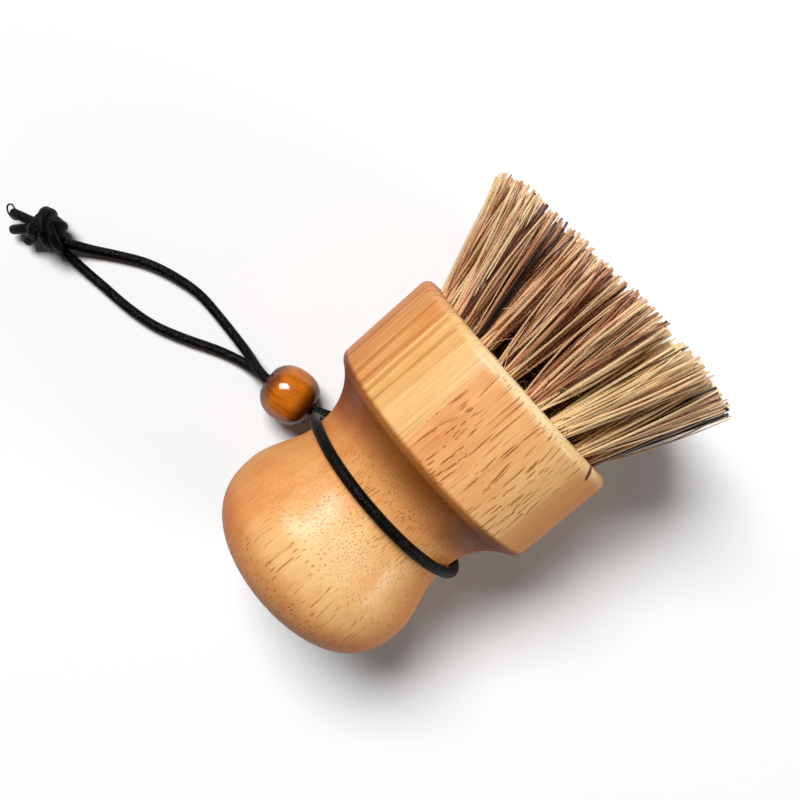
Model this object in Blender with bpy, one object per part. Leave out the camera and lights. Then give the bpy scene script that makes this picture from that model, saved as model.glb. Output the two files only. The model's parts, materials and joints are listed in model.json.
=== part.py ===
"""Truffle brush: a turned bamboo palm handle with tufts of natural bristle set in drilled holes,
and a round leather cord noosed about its neck, drawn up by a wooden bead and ended in a knot.

The brush lies on its side on the floor z = 0, on the knob of its handle and on the tips of its
lowest bristles. Lengths are in metres and +Z is up. The brush's own frame has +Z along the axis,
from the knob to the bristles, and is laid down by one empty; its -X side then looks up.
"""

import math
import random

import bmesh
import bpy
import numpy as np
from mathutils import Matrix, Vector

MM = 0.001

# Handle, turned from one piece. Lengths run along the axis, from the knob's end.
KNOB_RADIUS = 24.0 * MM
KNOB_LENGTH = 15.5 * MM
KNOB_ROUNDNESS = 2.6
WAIST_LENGTH = 15.5 * MM
NECK_RADIUS = 20.0 * MM
NECK_LENGTH = 2.0 * MM
BLOCK_RADIUS = 27.6 * MM
BLOCK_HEIGHT = 22.0 * MM
FACE_ROUND = 2.0 * MM
COVE_TURN = math.radians(58)
RIM_ROUND_SHARE = 0.134
HANDLE_STEPS = 48
POLE_MERGE = 0.01 * MM
SMOOTH_BELOW = math.radians(40)
KNOB_POINTS = 9
WAIST_POINTS = 7
COVE_POINTS = 6
ROUND_POINTS = 4

# Tufts, in a centre hole and three rings about it. Every tuft points away from one apex behind the face.
RING_PITCH = 7.1 * MM
RING_COUNTS = (1, 6, 12, 18)
RING_NAMES = ("centre", "inner", "middle", "outer")
APEX_DEPTH = 60.0 * MM
HOLE_RADIUS = 2.55 * MM
HOLE_DEPTH = 9.0 * MM
HOLE_SIDES = 12
HOLE_OVERRUN = 4.0 * MM
ROOT_CLEARANCE = 0.3 * MM
ROOT_SINK = 1.2 * MM
ROOT_SIDES = 8
ROOT_CORE_SHARE = 0.55
FOLD_DEPTH = 0.9 * MM
FOLD_SHARE = 0.7
STRAND_GAP = 0.16 * MM
STRAND_TIP_SHARE = 0.8
BRISTLE_LENGTH = 25.4 * MM
TIP_SPREAD = 2.35
TIP_SLOPE = 0.9 * MM
TIP_RAGGED = 0.55 * MM
TIP_SEED = 11

# Cord, a round leather one, doubled: the noose about the neck and two strands to the knot.
CORD_RADIUS = 1.15 * MM
CORD_CLEARANCE = 0.3 * MM
CORD_POINT_STEP = 3.9 * MM
CORD_ROUNDNESS = 2
CORD_SAMPLES = 12
RUN_HALF_GAP = 1.3 * MM
NOOSE_START = math.radians(-95)
NOOSE_END = math.radians(-323)
NOOSE_STEP = math.radians(-14.25)
NOOSE_FORWARD = 0.7 * MM

# Bead, turned and bored for both runs of the cord. It lies on the floor beside the neck.
BEAD_RADIUS = 6.6 * MM
BEAD_LENGTH = 12.0 * MM
BEAD_ROUNDNESS = 2.35
BEAD_CLEARANCE = 0.25 * MM
BEAD_MOUTH = 0.6 * MM
BEAD_STEPS = 32
BEAD_POINTS = 11
BEAD_FROM_NECK = (-3.8 * MM, 30.0 * MM)

# The cord's route, by hand, as steps from the bead's centre on the floor: along X, along Y and height.
KNOT_FROM_BEAD = (-17.73 * MM, 66.0 * MM)
NOOSE_LOW_ROUTE = (
    (0.04 * MM, -0.15 * MM, 5.3 * MM),
    (0.75 * MM, -2.8 * MM, 5.3 * MM),
    (1.55 * MM, -5.6 * MM, 5.3 * MM),
    (3.1 * MM, -8.6 * MM, 5.3 * MM),
    (5.2 * MM, -12.2 * MM, 5.2 * MM),
    (6.5 * MM, -16.6 * MM, 5.0 * MM),
    (6.85 * MM, -21.6 * MM, 4.86 * MM),
    (6.6 * MM, -26.8 * MM, 4.82 * MM),
)
NOOSE_HIGH_ROUTE = (
    (2.6 * MM, -10.45 * MM, 35.2 * MM),
    (2.6 * MM, -8.92 * MM, 29.9 * MM),
    (2.55 * MM, -8.55 * MM, 25.1 * MM),
    (2.45 * MM, -8.95 * MM, 21.4 * MM),
    (2.4 * MM, -9.65 * MM, 18.3 * MM),
    (2.35 * MM, -10.12 * MM, 15.5 * MM),
    (2.25 * MM, -10.22 * MM, 12.8 * MM),
    (2.15 * MM, -9.88 * MM, 10.85 * MM),
    (1.95 * MM, -8.88 * MM, 9.27 * MM),
    (1.72 * MM, -7.35 * MM, 8.22 * MM),
    (1.5 * MM, -5.6 * MM, 7.9 * MM),
    (0.75 * MM, -2.8 * MM, 7.9 * MM),
    (0.04 * MM, -0.15 * MM, 7.9 * MM),
)
STRAND_HIGH_ROUTE = (
    (-0.04 * MM, 0.15 * MM, 7.9 * MM),
    (-0.78 * MM, 2.9 * MM, 7.9 * MM),
    (-1.5 * MM, 5.8 * MM, 7.85 * MM),
    (-1.65 * MM, 9.0 * MM, 6.7 * MM),
    (-1.5 * MM, 12.0 * MM, 4.6 * MM),
    (-1.35 * MM, 15.0 * MM, 2.7 * MM),
    (-1.25 * MM, 18.4 * MM, 1.55 * MM),
    (-0.95 * MM, 25.4 * MM, 1.2 * MM),
    (-1.0 * MM, 32.2 * MM, 1.2 * MM),
    (-2.4 * MM, 38.5 * MM, 1.2 * MM),
    (-5.5 * MM, 46.1 * MM, 1.2 * MM),
    (-9.9 * MM, 52.6 * MM, 1.25 * MM),
    (-13.3 * MM, 57.1 * MM, 1.8 * MM),
    (-15.3 * MM, 60.0 * MM, 2.9 * MM),
)
STRAND_LOW_ROUTE = (
    (-0.04 * MM, 0.15 * MM, 5.3 * MM),
    (-0.78 * MM, 2.9 * MM, 5.3 * MM),
    (-1.52 * MM, 5.8 * MM, 5.2 * MM),
    (-2.25 * MM, 8.6 * MM, 4.0 * MM),
    (-3.05 * MM, 11.3 * MM, 2.2 * MM),
    (-4.2 * MM, 14.7 * MM, 1.3 * MM),
    (-6.3 * MM, 19.4 * MM, 1.2 * MM),
    (-11.1 * MM, 28.0 * MM, 1.2 * MM),
    (-14.0 * MM, 34.3 * MM, 1.2 * MM),
    (-15.8 * MM, 41.3 * MM, 1.2 * MM),
    (-16.95 * MM, 49.3 * MM, 1.2 * MM),
    (-17.8 * MM, 55.8 * MM, 1.7 * MM),
    (-18.05 * MM, 59.7 * MM, 2.9 * MM),
)

# Knot: a core wound with four turns, two roots that meet the strands, and three cut tails. Each turn has its
# tilt from square across the cord, its shift along the cord and its radius.
KNOT_HEIGHT = 5.1 * MM
KNOT_RADIUS = 3.6 * MM
KNOT_SIDES = 8
KNOT_STEPS = 20
KNOT_ROOT_LENGTH = 3.4 * MM
KNOT_TURNS = (
    (math.radians(-49), -1.6 * MM, 3.6 * MM),
    (math.radians(-37), 0.6 * MM, 3.85 * MM),
    (math.radians(6), 2.3 * MM, 3.3 * MM),
    (math.radians(49), 0.9 * MM, 3.5 * MM),
)
TAIL_BEND = 11.5 * MM
TAIL_STEPS = 5
TAIL_START_SHARE = 0.5

# Each tail's heading on the floor, its rise where it leaves the knot and the angle that it bends through.
TAILS = (
    (math.radians(117.6), math.radians(10), math.radians(58)),
    (math.radians(138), math.radians(6), math.radians(53)),
    (math.radians(162.5), math.radians(-8), math.radians(40)),
)

# Search for the lying tilt: the steepest that is tried, and how often the span is halved.
STEEPEST_TILT = math.radians(30)
TILT_HALVINGS = 40

BAMBOO = (0.80, 0.46, 0.20)
BRISTLE = (0.55, 0.36, 0.19)
LEATHER = (0.016, 0.014, 0.013)
AMBER_WOOD = (0.52, 0.17, 0.025)


def clear_scene():
    for old in list(bpy.data.objects):
        bpy.data.objects.remove(old, do_unlink=True)


def material(name, colour, roughness):
    made = bpy.data.materials.new(name)
    made.use_nodes = True
    shader = made.node_tree.nodes["Principled BSDF"]
    shader.inputs["Base Color"].default_value = (*colour, 1)
    shader.inputs["Roughness"].default_value = roughness
    shader.inputs["Metallic"].default_value = 0
    return made


def add_object(name, data, finish, smooth_angle=None):
    if smooth_angle is not None:
        data.shade_smooth()
        data.set_sharp_from_angle(angle=smooth_angle)
    made = bpy.data.objects.new(name, data)
    bpy.context.collection.objects.link(made)
    if finish is not None:
        data.materials.append(finish)
    return made


def mesh_from(bm, name):
    bmesh.ops.recalc_face_normals(bm, faces=bm.faces)
    data = bpy.data.meshes.new(name)
    bm.to_mesh(data)
    bm.free()
    return data


def helper(obj):
    obj.hide_render = True
    obj.display_type = "WIRE"
    return obj


def keep_place_under(obj, parent):
    """Parents obj and leaves it where its own matrix puts it."""
    obj.parent = parent
    obj.matrix_parent_inverse = parent.matrix_world.inverted()


def empty(name, matrix):
    made = bpy.data.objects.new(name, None)
    bpy.context.collection.objects.link(made)
    made.matrix_world = matrix
    bpy.context.view_layer.update()
    return made


def cove_sizes():
    """The cove's radius and the rim's round, which together turn from the neck's line to the block's side."""
    both = (BLOCK_RADIUS - NECK_RADIUS) / (1 - math.cos(COVE_TURN))
    rim_round = both * RIM_ROUND_SHARE
    return both - rim_round, rim_round


def neck_start():
    """Where the waist has come down to the neck, along the axis."""
    return KNOB_LENGTH + WAIST_LENGTH


def rim_station():
    """Where the rim's round meets the block's straight side."""
    cove, rim_round = cove_sizes()
    return neck_start() + NECK_LENGTH + (cove + rim_round) * math.sin(COVE_TURN)


def face_station():
    """Where the block's bristle face lies."""
    return rim_station() + BLOCK_HEIGHT


def knob_outline():
    """The knob's end, a rounded dome that is flatter than a ball."""
    points = [(0.0, 0.0)]
    for i in range(1, KNOB_POINTS + 1):
        turn = math.pi / 2 * i / KNOB_POINTS
        radius = KNOB_RADIUS * math.sin(turn) ** (2 / KNOB_ROUNDNESS)
        station = KNOB_LENGTH * (1 - math.cos(turn) ** (2 / KNOB_ROUNDNESS))
        points.append((radius, station))
    return points


def waist_outline():
    """The easy S from the knob down to the neck."""
    points = []
    for i in range(1, WAIST_POINTS + 1):
        share = i / WAIST_POINTS
        drop = (1 - math.cos(math.pi * share)) / 2
        radius = KNOB_RADIUS - (KNOB_RADIUS - NECK_RADIUS) * drop
        points.append((radius, KNOB_LENGTH + WAIST_LENGTH * share))
    return points


def cove_outline():
    """The hollow flare under the block, then the round of its rim."""
    cove, rim_round = cove_sizes()
    start = neck_start() + NECK_LENGTH
    points = [(NECK_RADIUS, start)]
    for i in range(1, COVE_POINTS + 1):
        turn = COVE_TURN * i / COVE_POINTS
        points.append((NECK_RADIUS + cove * (1 - math.cos(turn)), start + cove * math.sin(turn)))
    for i in range(1, ROUND_POINTS + 1):
        turn = COVE_TURN * (1 - i / ROUND_POINTS)
        radius = BLOCK_RADIUS - rim_round * (1 - math.cos(turn))
        points.append((radius, rim_station() - rim_round * math.sin(turn)))
    return points


def face_outline():
    """The round between the block's side and its bristle face."""
    points = []
    for i in range(ROUND_POINTS + 1):
        turn = math.pi / 2 * i / ROUND_POINTS
        radius = BLOCK_RADIUS - FACE_ROUND * (1 - math.cos(turn))
        points.append((radius, face_station() - FACE_ROUND * (1 - math.sin(turn))))
    return points


def handle_outline():
    """(radius, station) pairs from the knob's pole to the edge of the bristle face."""
    return knob_outline() + waist_outline() + cove_outline() + face_outline()


def turned_solid(outline, steps, name, closed_profile=False):
    """Spins an outline of (radius, station) pairs once round the Z axis and closes an open end with one face."""
    bm = bmesh.new()
    verts = [bm.verts.new((radius, 0, station)) for radius, station in outline]
    edges = [bm.edges.new(pair) for pair in zip(verts, verts[1:])]
    if closed_profile:
        edges.append(bm.edges.new((verts[-1], verts[0])))
    bmesh.ops.spin(
        bm,
        geom=verts + edges,
        cent=(0, 0, 0),
        axis=(0, 0, 1),
        angle=2 * math.pi,
        steps=steps,
        use_merge=True,
    )
    poles = [v for v in bm.verts if math.hypot(v.co.x, v.co.y) < POLE_MERGE]
    bmesh.ops.remove_doubles(bm, verts=poles, dist=POLE_MERGE)
    open_edges = [e for e in bm.edges if e.is_boundary]
    if open_edges:
        bmesh.ops.holes_fill(bm, edges=open_edges, sides=0)
    return mesh_from(bm, name)


def turn_to(direction):
    """The turn that takes +Z to a direction."""
    return Vector((0, 0, 1)).rotation_difference(direction).to_matrix().to_4x4()


def tuft_places():
    """(name, matrix) of each tuft in the brush's frame: at its hole's mouth, with Z out along the bristles."""
    apex = Vector((0, 0, face_station() - APEX_DEPTH))
    places = []
    for ring, (count, ring_name) in enumerate(zip(RING_COUNTS, RING_NAMES)):
        radius = RING_PITCH * ring
        for i in range(count):
            turn = 2 * math.pi * (i + 0.5) / count
            mouth = Vector((radius * math.cos(turn), radius * math.sin(turn), face_station()))
            lean = turn_to(mouth - apex)
            name = f"tuft_{ring_name}" if count == 1 else f"tuft_{ring_name}_{i + 1:02d}"
            places.append((name, Matrix.Translation(mouth) @ lean))
    return places


def hole_cutter(places):
    """One mesh of every tuft hole, each a round-bottomed blind drilling."""
    bm = bmesh.new()
    depth = HOLE_DEPTH + HOLE_OVERRUN
    for _, place in places:
        middle = Matrix.Translation((0, 0, (HOLE_OVERRUN - HOLE_DEPTH) / 2))
        bmesh.ops.create_cone(
            bm,
            cap_ends=True,
            segments=HOLE_SIDES,
            radius1=HOLE_RADIUS,
            radius2=HOLE_RADIUS,
            depth=depth,
            matrix=place @ middle,
        )
    return helper(add_object("tuft_hole_cutter", mesh_from(bm, "tuft_hole_cutter"), None))


def make_handle(places, finish):
    data = turned_solid(handle_outline(), HANDLE_STEPS, "handle")
    handle = add_object("handle", data, finish, SMOOTH_BELOW)
    cutter = hole_cutter(places)
    holes = handle.modifiers.new("tuft_holes", "BOOLEAN")
    holes.operation = "DIFFERENCE"
    holes.object = cutter
    return handle, cutter


def root_cells(bm, radius, bottom):
    """The tuft's bound root, with its fold at the bottom, and the 12 cells of its top that strands grow from."""
    bmesh.ops.create_circle(bm, cap_ends=True, segments=ROOT_SIDES, radius=radius * FOLD_SHARE)
    bmesh.ops.translate(bm, verts=bm.verts, vec=(0, 0, bottom))
    first = bm.faces[:]
    fold = bmesh.ops.extrude_face_region(bm, geom=first)["geom"]
    ring = [g for g in fold if isinstance(g, bmesh.types.BMVert)]
    bmesh.ops.scale(bm, verts=ring, vec=(1 / FOLD_SHARE, 1 / FOLD_SHARE, 1))
    bmesh.ops.translate(bm, verts=ring, vec=(0, 0, FOLD_DEPTH))
    side = [g for g in fold if isinstance(g, bmesh.types.BMFace)]
    top = bmesh.ops.extrude_face_region(bm, geom=side)["geom"]
    bmesh.ops.delete(bm, geom=side, context="FACES_ONLY")
    rim = [g for g in top if isinstance(g, bmesh.types.BMVert)]
    bmesh.ops.translate(bm, verts=rim, vec=(0, 0, -ROOT_SINK - bottom - FOLD_DEPTH))
    lid = [g for g in top if isinstance(g, bmesh.types.BMFace)]
    thickness = radius * (1 - ROOT_CORE_SHARE) * math.cos(math.pi / ROOT_SIDES)
    outer = bmesh.ops.inset_region(bm, faces=lid, thickness=thickness, use_even_offset=True)["faces"]
    poked = bmesh.ops.poke(bm, faces=lid)
    spokes = [e for v in poked["verts"] for e in v.link_edges]
    spokes.sort(key=lambda e: math.atan2(*e.other_vert(poked["verts"][0]).co.xy))
    bmesh.ops.dissolve_edges(bm, edges=spokes[::2])
    inner = list(poked["verts"][0].link_faces)
    return outer + inner


def strand_tip(root, place, axis_out, length_out, chance):
    """Where the strand that grows from root, a point of the tuft's own frame, ends in the brush's frame."""
    lift = face_station() + BRISTLE_LENGTH + chance.uniform(-TIP_RAGGED, TIP_RAGGED)
    centre = place.translation + axis_out * length_out
    spread = place.to_3x3() @ Vector((root.x * TIP_SPREAD, root.y * TIP_SPREAD, 0))
    tip = centre + spread
    lift -= TIP_SLOPE * tip.y / BLOCK_RADIUS
    return tip + axis_out * ((lift - tip.z) / axis_out.z)


def make_tuft(name, place, finish, chance):
    radius = HOLE_RADIUS * math.cos(math.pi / HOLE_SIDES) - ROOT_CLEARANCE
    bottom = ROOT_CLEARANCE - HOLE_DEPTH
    bm = bmesh.new()
    cells = root_cells(bm, radius, bottom)
    bmesh.ops.inset_individual(bm, faces=cells, thickness=STRAND_GAP / 2, use_even_offset=True)
    grown = bmesh.ops.extrude_discrete_faces(bm, faces=cells)["faces"]
    axis_out = (place.to_3x3() @ Vector((0, 0, 1))).normalized()
    length_out = BRISTLE_LENGTH / axis_out.z
    to_tuft = place.inverted()
    for strand in grown:
        root = strand.calc_center_median()
        tip = to_tuft @ strand_tip(root, place, axis_out, length_out, chance)
        for vert in strand.verts:
            vert.co = tip + (vert.co - root) * STRAND_TIP_SHARE
    tuft = add_object(name, mesh_from(bm, name), finish)
    tuft.matrix_basis = place
    return tuft


def laid_down(tilt):
    """Turns the brush's +Z axis to world +X, raised by tilt at the bristle end."""
    return Matrix.Rotation(math.pi / 2 - tilt, 4, "Y")


def corner_array(obj):
    return np.array([obj.matrix_basis @ v.co for v in obj.data.vertices])


def lying_place(handle, tufts):
    """The matrix that lays the brush on z = 0 on its knob and its lowest tips, with its box centred on x = 0."""
    wood = corner_array(handle)
    hair = np.vstack([corner_array(tuft) for tuft in tufts])
    low, high = 0.0, STEEPEST_TILT
    for _ in range(TILT_HALVINGS):
        tilt = (low + high) / 2
        down = np.array(laid_down(tilt))[2, :3]
        if (hair @ down).min() < (wood @ down).min():
            low = tilt
        else:
            high = tilt
    turn = np.array(laid_down(tilt))[:3, :3]
    both = np.vstack([wood, hair]) @ turn.T
    middle = (both[:, 0].min() + both[:, 0].max()) / 2
    return Matrix.Translation((-middle, 0, -both[:, 2].min())) @ laid_down(tilt)


def smooth_route(points, step):
    """Points a step apart along a centripetal Catmull-Rom curve through the route's own points."""
    ends = [points[0] * 2 - points[1], *points, points[-1] * 2 - points[-2]]
    fine = []
    for p0, p1, p2, p3 in zip(ends, ends[1:], ends[2:], ends[3:]):
        t1 = (p1 - p0).length ** 0.5
        t2 = t1 + (p2 - p1).length ** 0.5
        t3 = t2 + (p3 - p2).length ** 0.5
        for i in range(CORD_SAMPLES):
            t = t1 + (t2 - t1) * i / CORD_SAMPLES
            a = p0 + (p1 - p0) * (t / t1)
            b = p1 + (p2 - p1) * ((t - t1) / (t2 - t1))
            c = p2 + (p3 - p2) * ((t - t2) / (t3 - t2))
            d = a + (b - a) * (t / t2)
            e = b + (c - b) * ((t - t1) / (t3 - t1))
            fine.append(d + (e - d) * ((t - t1) / (t2 - t1)))
    fine.append(points[-1])
    travelled = np.cumsum([0] + [(b - a).length for a, b in zip(fine, fine[1:])])
    count = max(2, round(travelled[-1] / step) + 1)
    at = np.linspace(0, travelled[-1], count)
    spread = np.array([tuple(p) for p in fine])
    return [Vector(np.array([np.interp(t, travelled, spread[:, k]) for k in range(3)])) for t in at]


def cord_tube(name, points, finish):
    data = bpy.data.curves.new(name, "CURVE")
    data.dimensions = "3D"
    data.bevel_depth = CORD_RADIUS
    data.bevel_resolution = CORD_ROUNDNESS
    data.use_fill_caps = True
    spline = data.splines.new("POLY")
    spline.points.add(len(points) - 1)
    for spot, point in zip(spline.points, points):
        spot.co = (*point, 1)
    return add_object(name, data, finish)


def neck_ring(brush):
    """The noose's centre, and the cord's line about the neck as a function of the angle from +Y to the top."""
    station = neck_start() + NECK_LENGTH / 2 + NOOSE_FORWARD
    radius = NECK_RADIUS + CORD_CLEARANCE + CORD_RADIUS
    centre = brush @ Vector((0, 0, station))
    up = brush.to_3x3() @ Vector((-1, 0, 0))
    side = Vector((0, 1, 0))
    return centre, lambda turn: centre + (side * math.cos(turn) + up * math.sin(turn)) * radius


def routed(steps, bead_floor):
    return [bead_floor + Vector(step) for step in steps]


def make_cords(brush, bead_floor, finish):
    """The noose, from bead to bead under and over the neck, and the two strands that run on to the knot."""
    _, ring = neck_ring(brush)
    turns = np.arange(NOOSE_START, NOOSE_END + NOOSE_STEP / 2, NOOSE_STEP)
    low = routed(NOOSE_LOW_ROUTE, bead_floor)
    high = routed(NOOSE_HIGH_ROUTE, bead_floor)
    noose = low + [ring(turn) for turn in turns] + high
    routes = {
        "neck_noose": noose,
        "cord_strand_upper": routed(STRAND_HIGH_ROUTE, bead_floor),
        "cord_strand_lower": routed(STRAND_LOW_ROUTE, bead_floor),
    }
    paths = {name: smooth_route(route, CORD_POINT_STEP) for name, route in routes.items()}
    return {name: cord_tube(name, path, finish) for name, path in paths.items()}, paths


def bead_outline():
    """The bead's barrel, its bored hole and the eased mouths between them, as one closed loop."""
    bore = RUN_HALF_GAP + CORD_RADIUS + BEAD_CLEARANCE
    half = BEAD_LENGTH / 2
    mouth = bore + BEAD_MOUTH
    start = math.asin((mouth / BEAD_RADIUS) ** (BEAD_ROUNDNESS / 2))
    points = [(bore, BEAD_MOUTH - half)]
    for i in range(BEAD_POINTS):
        turn = start + (math.pi - 2 * start) * i / (BEAD_POINTS - 1)
        radius = BEAD_RADIUS * math.sin(turn) ** (2 / BEAD_ROUNDNESS)
        along = math.copysign(abs(math.cos(turn)) ** (2 / BEAD_ROUNDNESS), math.cos(turn))
        points.append((radius, -half * along / math.cos(start) ** (2 / BEAD_ROUNDNESS)))
    return points + [(bore, half - BEAD_MOUTH)]


def bead_matrix(bead_floor):
    """The bead's centre, with Z along its bore and the cord, away from the neck."""
    away = Vector((*KNOT_FROM_BEAD, 0)).normalized()
    return Matrix.Translation(bead_floor + Vector((0, 0, BEAD_RADIUS))) @ turn_to(away)


def make_bead(bead_floor, finish):
    data = turned_solid(bead_outline(), BEAD_STEPS, "cord_bead", closed_profile=True)
    bead = add_object("cord_bead", data, finish, SMOOTH_BELOW)
    guide = empty("bead_slide_axis", bead_matrix(bead_floor))
    bead.parent = guide
    return guide


def cord_round(bm, centre, normal):
    """A circle of the cord's section, with one face across it."""
    place = Matrix.Translation(centre) @ turn_to(normal)
    made = bmesh.ops.create_circle(
        bm, cap_ends=True, segments=KNOT_SIDES, radius=CORD_RADIUS, matrix=place
    )
    return made["verts"]


def knot_turn(centre, axis, radius):
    """One closed turn of the cord about the knot's core."""
    bm = bmesh.new()
    out = axis.orthogonal().normalized()
    verts = cord_round(bm, centre + out * radius, axis.cross(out))
    bmesh.ops.delete(bm, geom=bm.faces[:], context="FACES_ONLY")
    edges = bm.edges[:]
    bmesh.ops.spin(
        bm,
        geom=verts + edges,
        cent=centre,
        axis=axis,
        angle=2 * math.pi,
        steps=KNOT_STEPS,
        use_merge=True,
    )
    return mesh_from(bm, "knot_turn")


def cord_stub(start, direction, length):
    """A short straight piece of the cord."""
    bm = bmesh.new()
    cord_round(bm, start, direction)
    grown = bmesh.ops.extrude_face_region(bm, geom=bm.faces[:])["geom"]
    verts = [g for g in grown if isinstance(g, bmesh.types.BMVert)]
    bmesh.ops.translate(bm, verts=verts, vec=direction * length)
    return mesh_from(bm, "knot_root")


def cord_tail(centre, heading, rise, bend):
    """A cut end that leaves the knot and bends down to lie on the floor."""
    bm = bmesh.new()
    flat = Vector((math.cos(heading), math.sin(heading), 0))
    out = flat * math.cos(rise) + Vector((0, 0, math.sin(rise)))
    side = Vector((0, 0, 1)).cross(flat)
    start = centre + flat * KNOT_RADIUS * TAIL_START_SHARE
    cord_round(bm, start, out)
    bmesh.ops.spin(
        bm,
        geom=bm.verts[:] + bm.edges[:] + bm.faces[:],
        cent=start + out.cross(side) * -TAIL_BEND,
        axis=side,
        angle=bend,
        steps=TAIL_STEPS,
    )
    return mesh_from(bm, "knot_tail")


def make_knot(bead_floor, paths, finish):
    centre = bead_floor + Vector((*KNOT_FROM_BEAD, KNOT_HEIGHT))
    along = Vector((*KNOT_FROM_BEAD, 0)).normalized()
    side = along.cross(Vector((0, 0, 1)))
    bm = bmesh.new()
    bmesh.ops.create_icosphere(bm, subdivisions=2, radius=KNOT_RADIUS, matrix=Matrix.Translation(centre))
    knot = add_object("cord_knot", mesh_from(bm, "cord_knot"), finish)
    pieces = []
    for tilt, shift, radius in KNOT_TURNS:
        axis = (along * math.cos(tilt) + side * math.sin(tilt)).normalized()
        pieces.append(knot_turn(centre + along * shift, axis, radius))
    for name in ("cord_strand_upper", "cord_strand_lower"):
        end, before = paths[name][-1], paths[name][-2]
        ahead = (end - before).normalized()
        pieces.append(cord_stub(end + ahead * CORD_CLEARANCE, ahead, KNOT_ROOT_LENGTH))
    for heading, rise, bend in TAILS:
        pieces.append(cord_tail(centre, heading, rise, bend))
    for i, data in enumerate(pieces):
        piece = helper(add_object(f"knot_piece_{i + 1}", data, None))
        join = knot.modifiers.new(f"join_{i + 1}", "BOOLEAN")
        join.operation = "UNION"
        join.object = piece
    return knot


def main():
    clear_scene()
    bamboo = material("bamboo", BAMBOO, 0.35)
    bristle = material("bristle", BRISTLE, 0.7)
    leather = material("black_leather", LEATHER, 0.45)
    amber = material("amber_wood", AMBER_WOOD, 0.15)

    chance = random.Random(TIP_SEED)
    places = tuft_places()
    handle, cutter = make_handle(places, bamboo)
    tufts = [make_tuft(name, place, bristle, chance) for name, place in places]

    brush = lying_place(handle, tufts)
    brush_axis = empty("brush_axis", brush)
    for obj in [handle, cutter, *tufts]:
        obj.parent = brush_axis

    neck_centre, _ = neck_ring(brush)
    bead_floor = Vector((neck_centre.x + BEAD_FROM_NECK[0], neck_centre.y + BEAD_FROM_NECK[1], 0))
    cords, paths = make_cords(brush, bead_floor, leather)
    knot = make_knot(bead_floor, paths, leather)
    bead_guide = make_bead(bead_floor, amber)

    cord_turn = empty("cord_turn_axis", Matrix.Translation(neck_centre) @ brush.to_3x3().to_4x4())
    for obj in [*cords.values(), knot, bead_guide]:
        keep_place_under(obj, cord_turn)


main()
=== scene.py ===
"""Looks of the truffle brush: a turned bamboo palm handle, 37 tufts of plant fibre in drilled
holes, and a round leather cord noosed about the neck, drawn up by a lacquered bead and knotted.

Lengths are in metres and +Z is up. The brush lies on the floor z = 0, and the camera looks down.
"""

import json
import math
import random

import bmesh
import bpy
import numpy as np
from mathutils import Matrix, Vector


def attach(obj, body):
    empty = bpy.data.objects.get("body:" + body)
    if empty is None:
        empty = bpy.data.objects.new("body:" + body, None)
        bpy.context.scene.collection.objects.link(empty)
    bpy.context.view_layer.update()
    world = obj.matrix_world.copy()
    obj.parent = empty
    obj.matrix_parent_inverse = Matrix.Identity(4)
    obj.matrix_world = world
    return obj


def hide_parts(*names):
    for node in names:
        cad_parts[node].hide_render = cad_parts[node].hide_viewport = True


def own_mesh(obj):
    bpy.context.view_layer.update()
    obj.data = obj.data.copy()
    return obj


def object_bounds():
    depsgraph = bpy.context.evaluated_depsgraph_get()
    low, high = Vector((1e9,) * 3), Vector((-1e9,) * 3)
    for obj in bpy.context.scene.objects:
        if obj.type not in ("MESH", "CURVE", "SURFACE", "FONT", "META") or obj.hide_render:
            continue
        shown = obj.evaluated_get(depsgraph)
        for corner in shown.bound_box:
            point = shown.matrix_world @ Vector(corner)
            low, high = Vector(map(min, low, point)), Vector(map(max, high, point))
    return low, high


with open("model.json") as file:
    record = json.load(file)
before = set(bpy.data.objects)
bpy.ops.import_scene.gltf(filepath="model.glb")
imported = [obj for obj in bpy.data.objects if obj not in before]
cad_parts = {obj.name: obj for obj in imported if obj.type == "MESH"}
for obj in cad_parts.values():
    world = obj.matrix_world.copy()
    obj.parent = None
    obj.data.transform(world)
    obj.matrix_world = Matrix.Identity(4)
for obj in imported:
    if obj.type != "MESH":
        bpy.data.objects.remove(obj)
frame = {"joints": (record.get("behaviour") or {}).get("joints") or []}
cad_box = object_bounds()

MM = 0.001
UP = Vector((0, 0, 1))
LEVEL = Vector((0, 1, 0))

# Camera, as it stood over the brush.
CAMERA_PLACE = (0.25 * MM, 12.5 * MM, 224.6 * MM)
CAMERA_LEAN = math.radians(0.5)
CAMERA_TURN = math.radians(-41.08)
CAMERA_LENS = 42.6
CAMERA_FILM = 36.0

# Handle, along its axis from the knob's end, as the solid has it.
KNOB_RADIUS = 24.0 * MM
KNOB_LENGTH = 15.5 * MM
KNOB_ROUNDNESS = 2.6
WAIST_LENGTH = 15.5 * MM
NECK_RADIUS = 20.0 * MM
NECK_LENGTH = 2.0 * MM
BLOCK_RADIUS = 27.6 * MM
BLOCK_HEIGHT = 22.0 * MM
FACE_ROUND = 2.0 * MM
COVE_TURN = math.radians(58)
RIM_ROUND_SHARE = 0.134
HANDLE_STEPS = 160
KNOB_POINTS = 34
WAIST_POINTS = 18
COVE_POINTS = 16
ROUND_POINTS = 9
POLE_MERGE = 0.01 * MM
SMOOTH_BELOW = math.radians(40)

# What follows from these: the radii of the cove and of the round at its rim, and the stations.
COVE_AND_ROUND = (BLOCK_RADIUS - NECK_RADIUS) / (1 - math.cos(COVE_TURN))
RIM_ROUND = COVE_AND_ROUND * RIM_ROUND_SHARE
COVE_RADIUS = COVE_AND_ROUND - RIM_ROUND
NECK_STATION = KNOB_LENGTH + WAIST_LENGTH
COVE_STATION = NECK_STATION + NECK_LENGTH
RIM_STATION = COVE_STATION + COVE_AND_ROUND * math.sin(COVE_TURN)
FACE_STATION = RIM_STATION + BLOCK_HEIGHT

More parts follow.
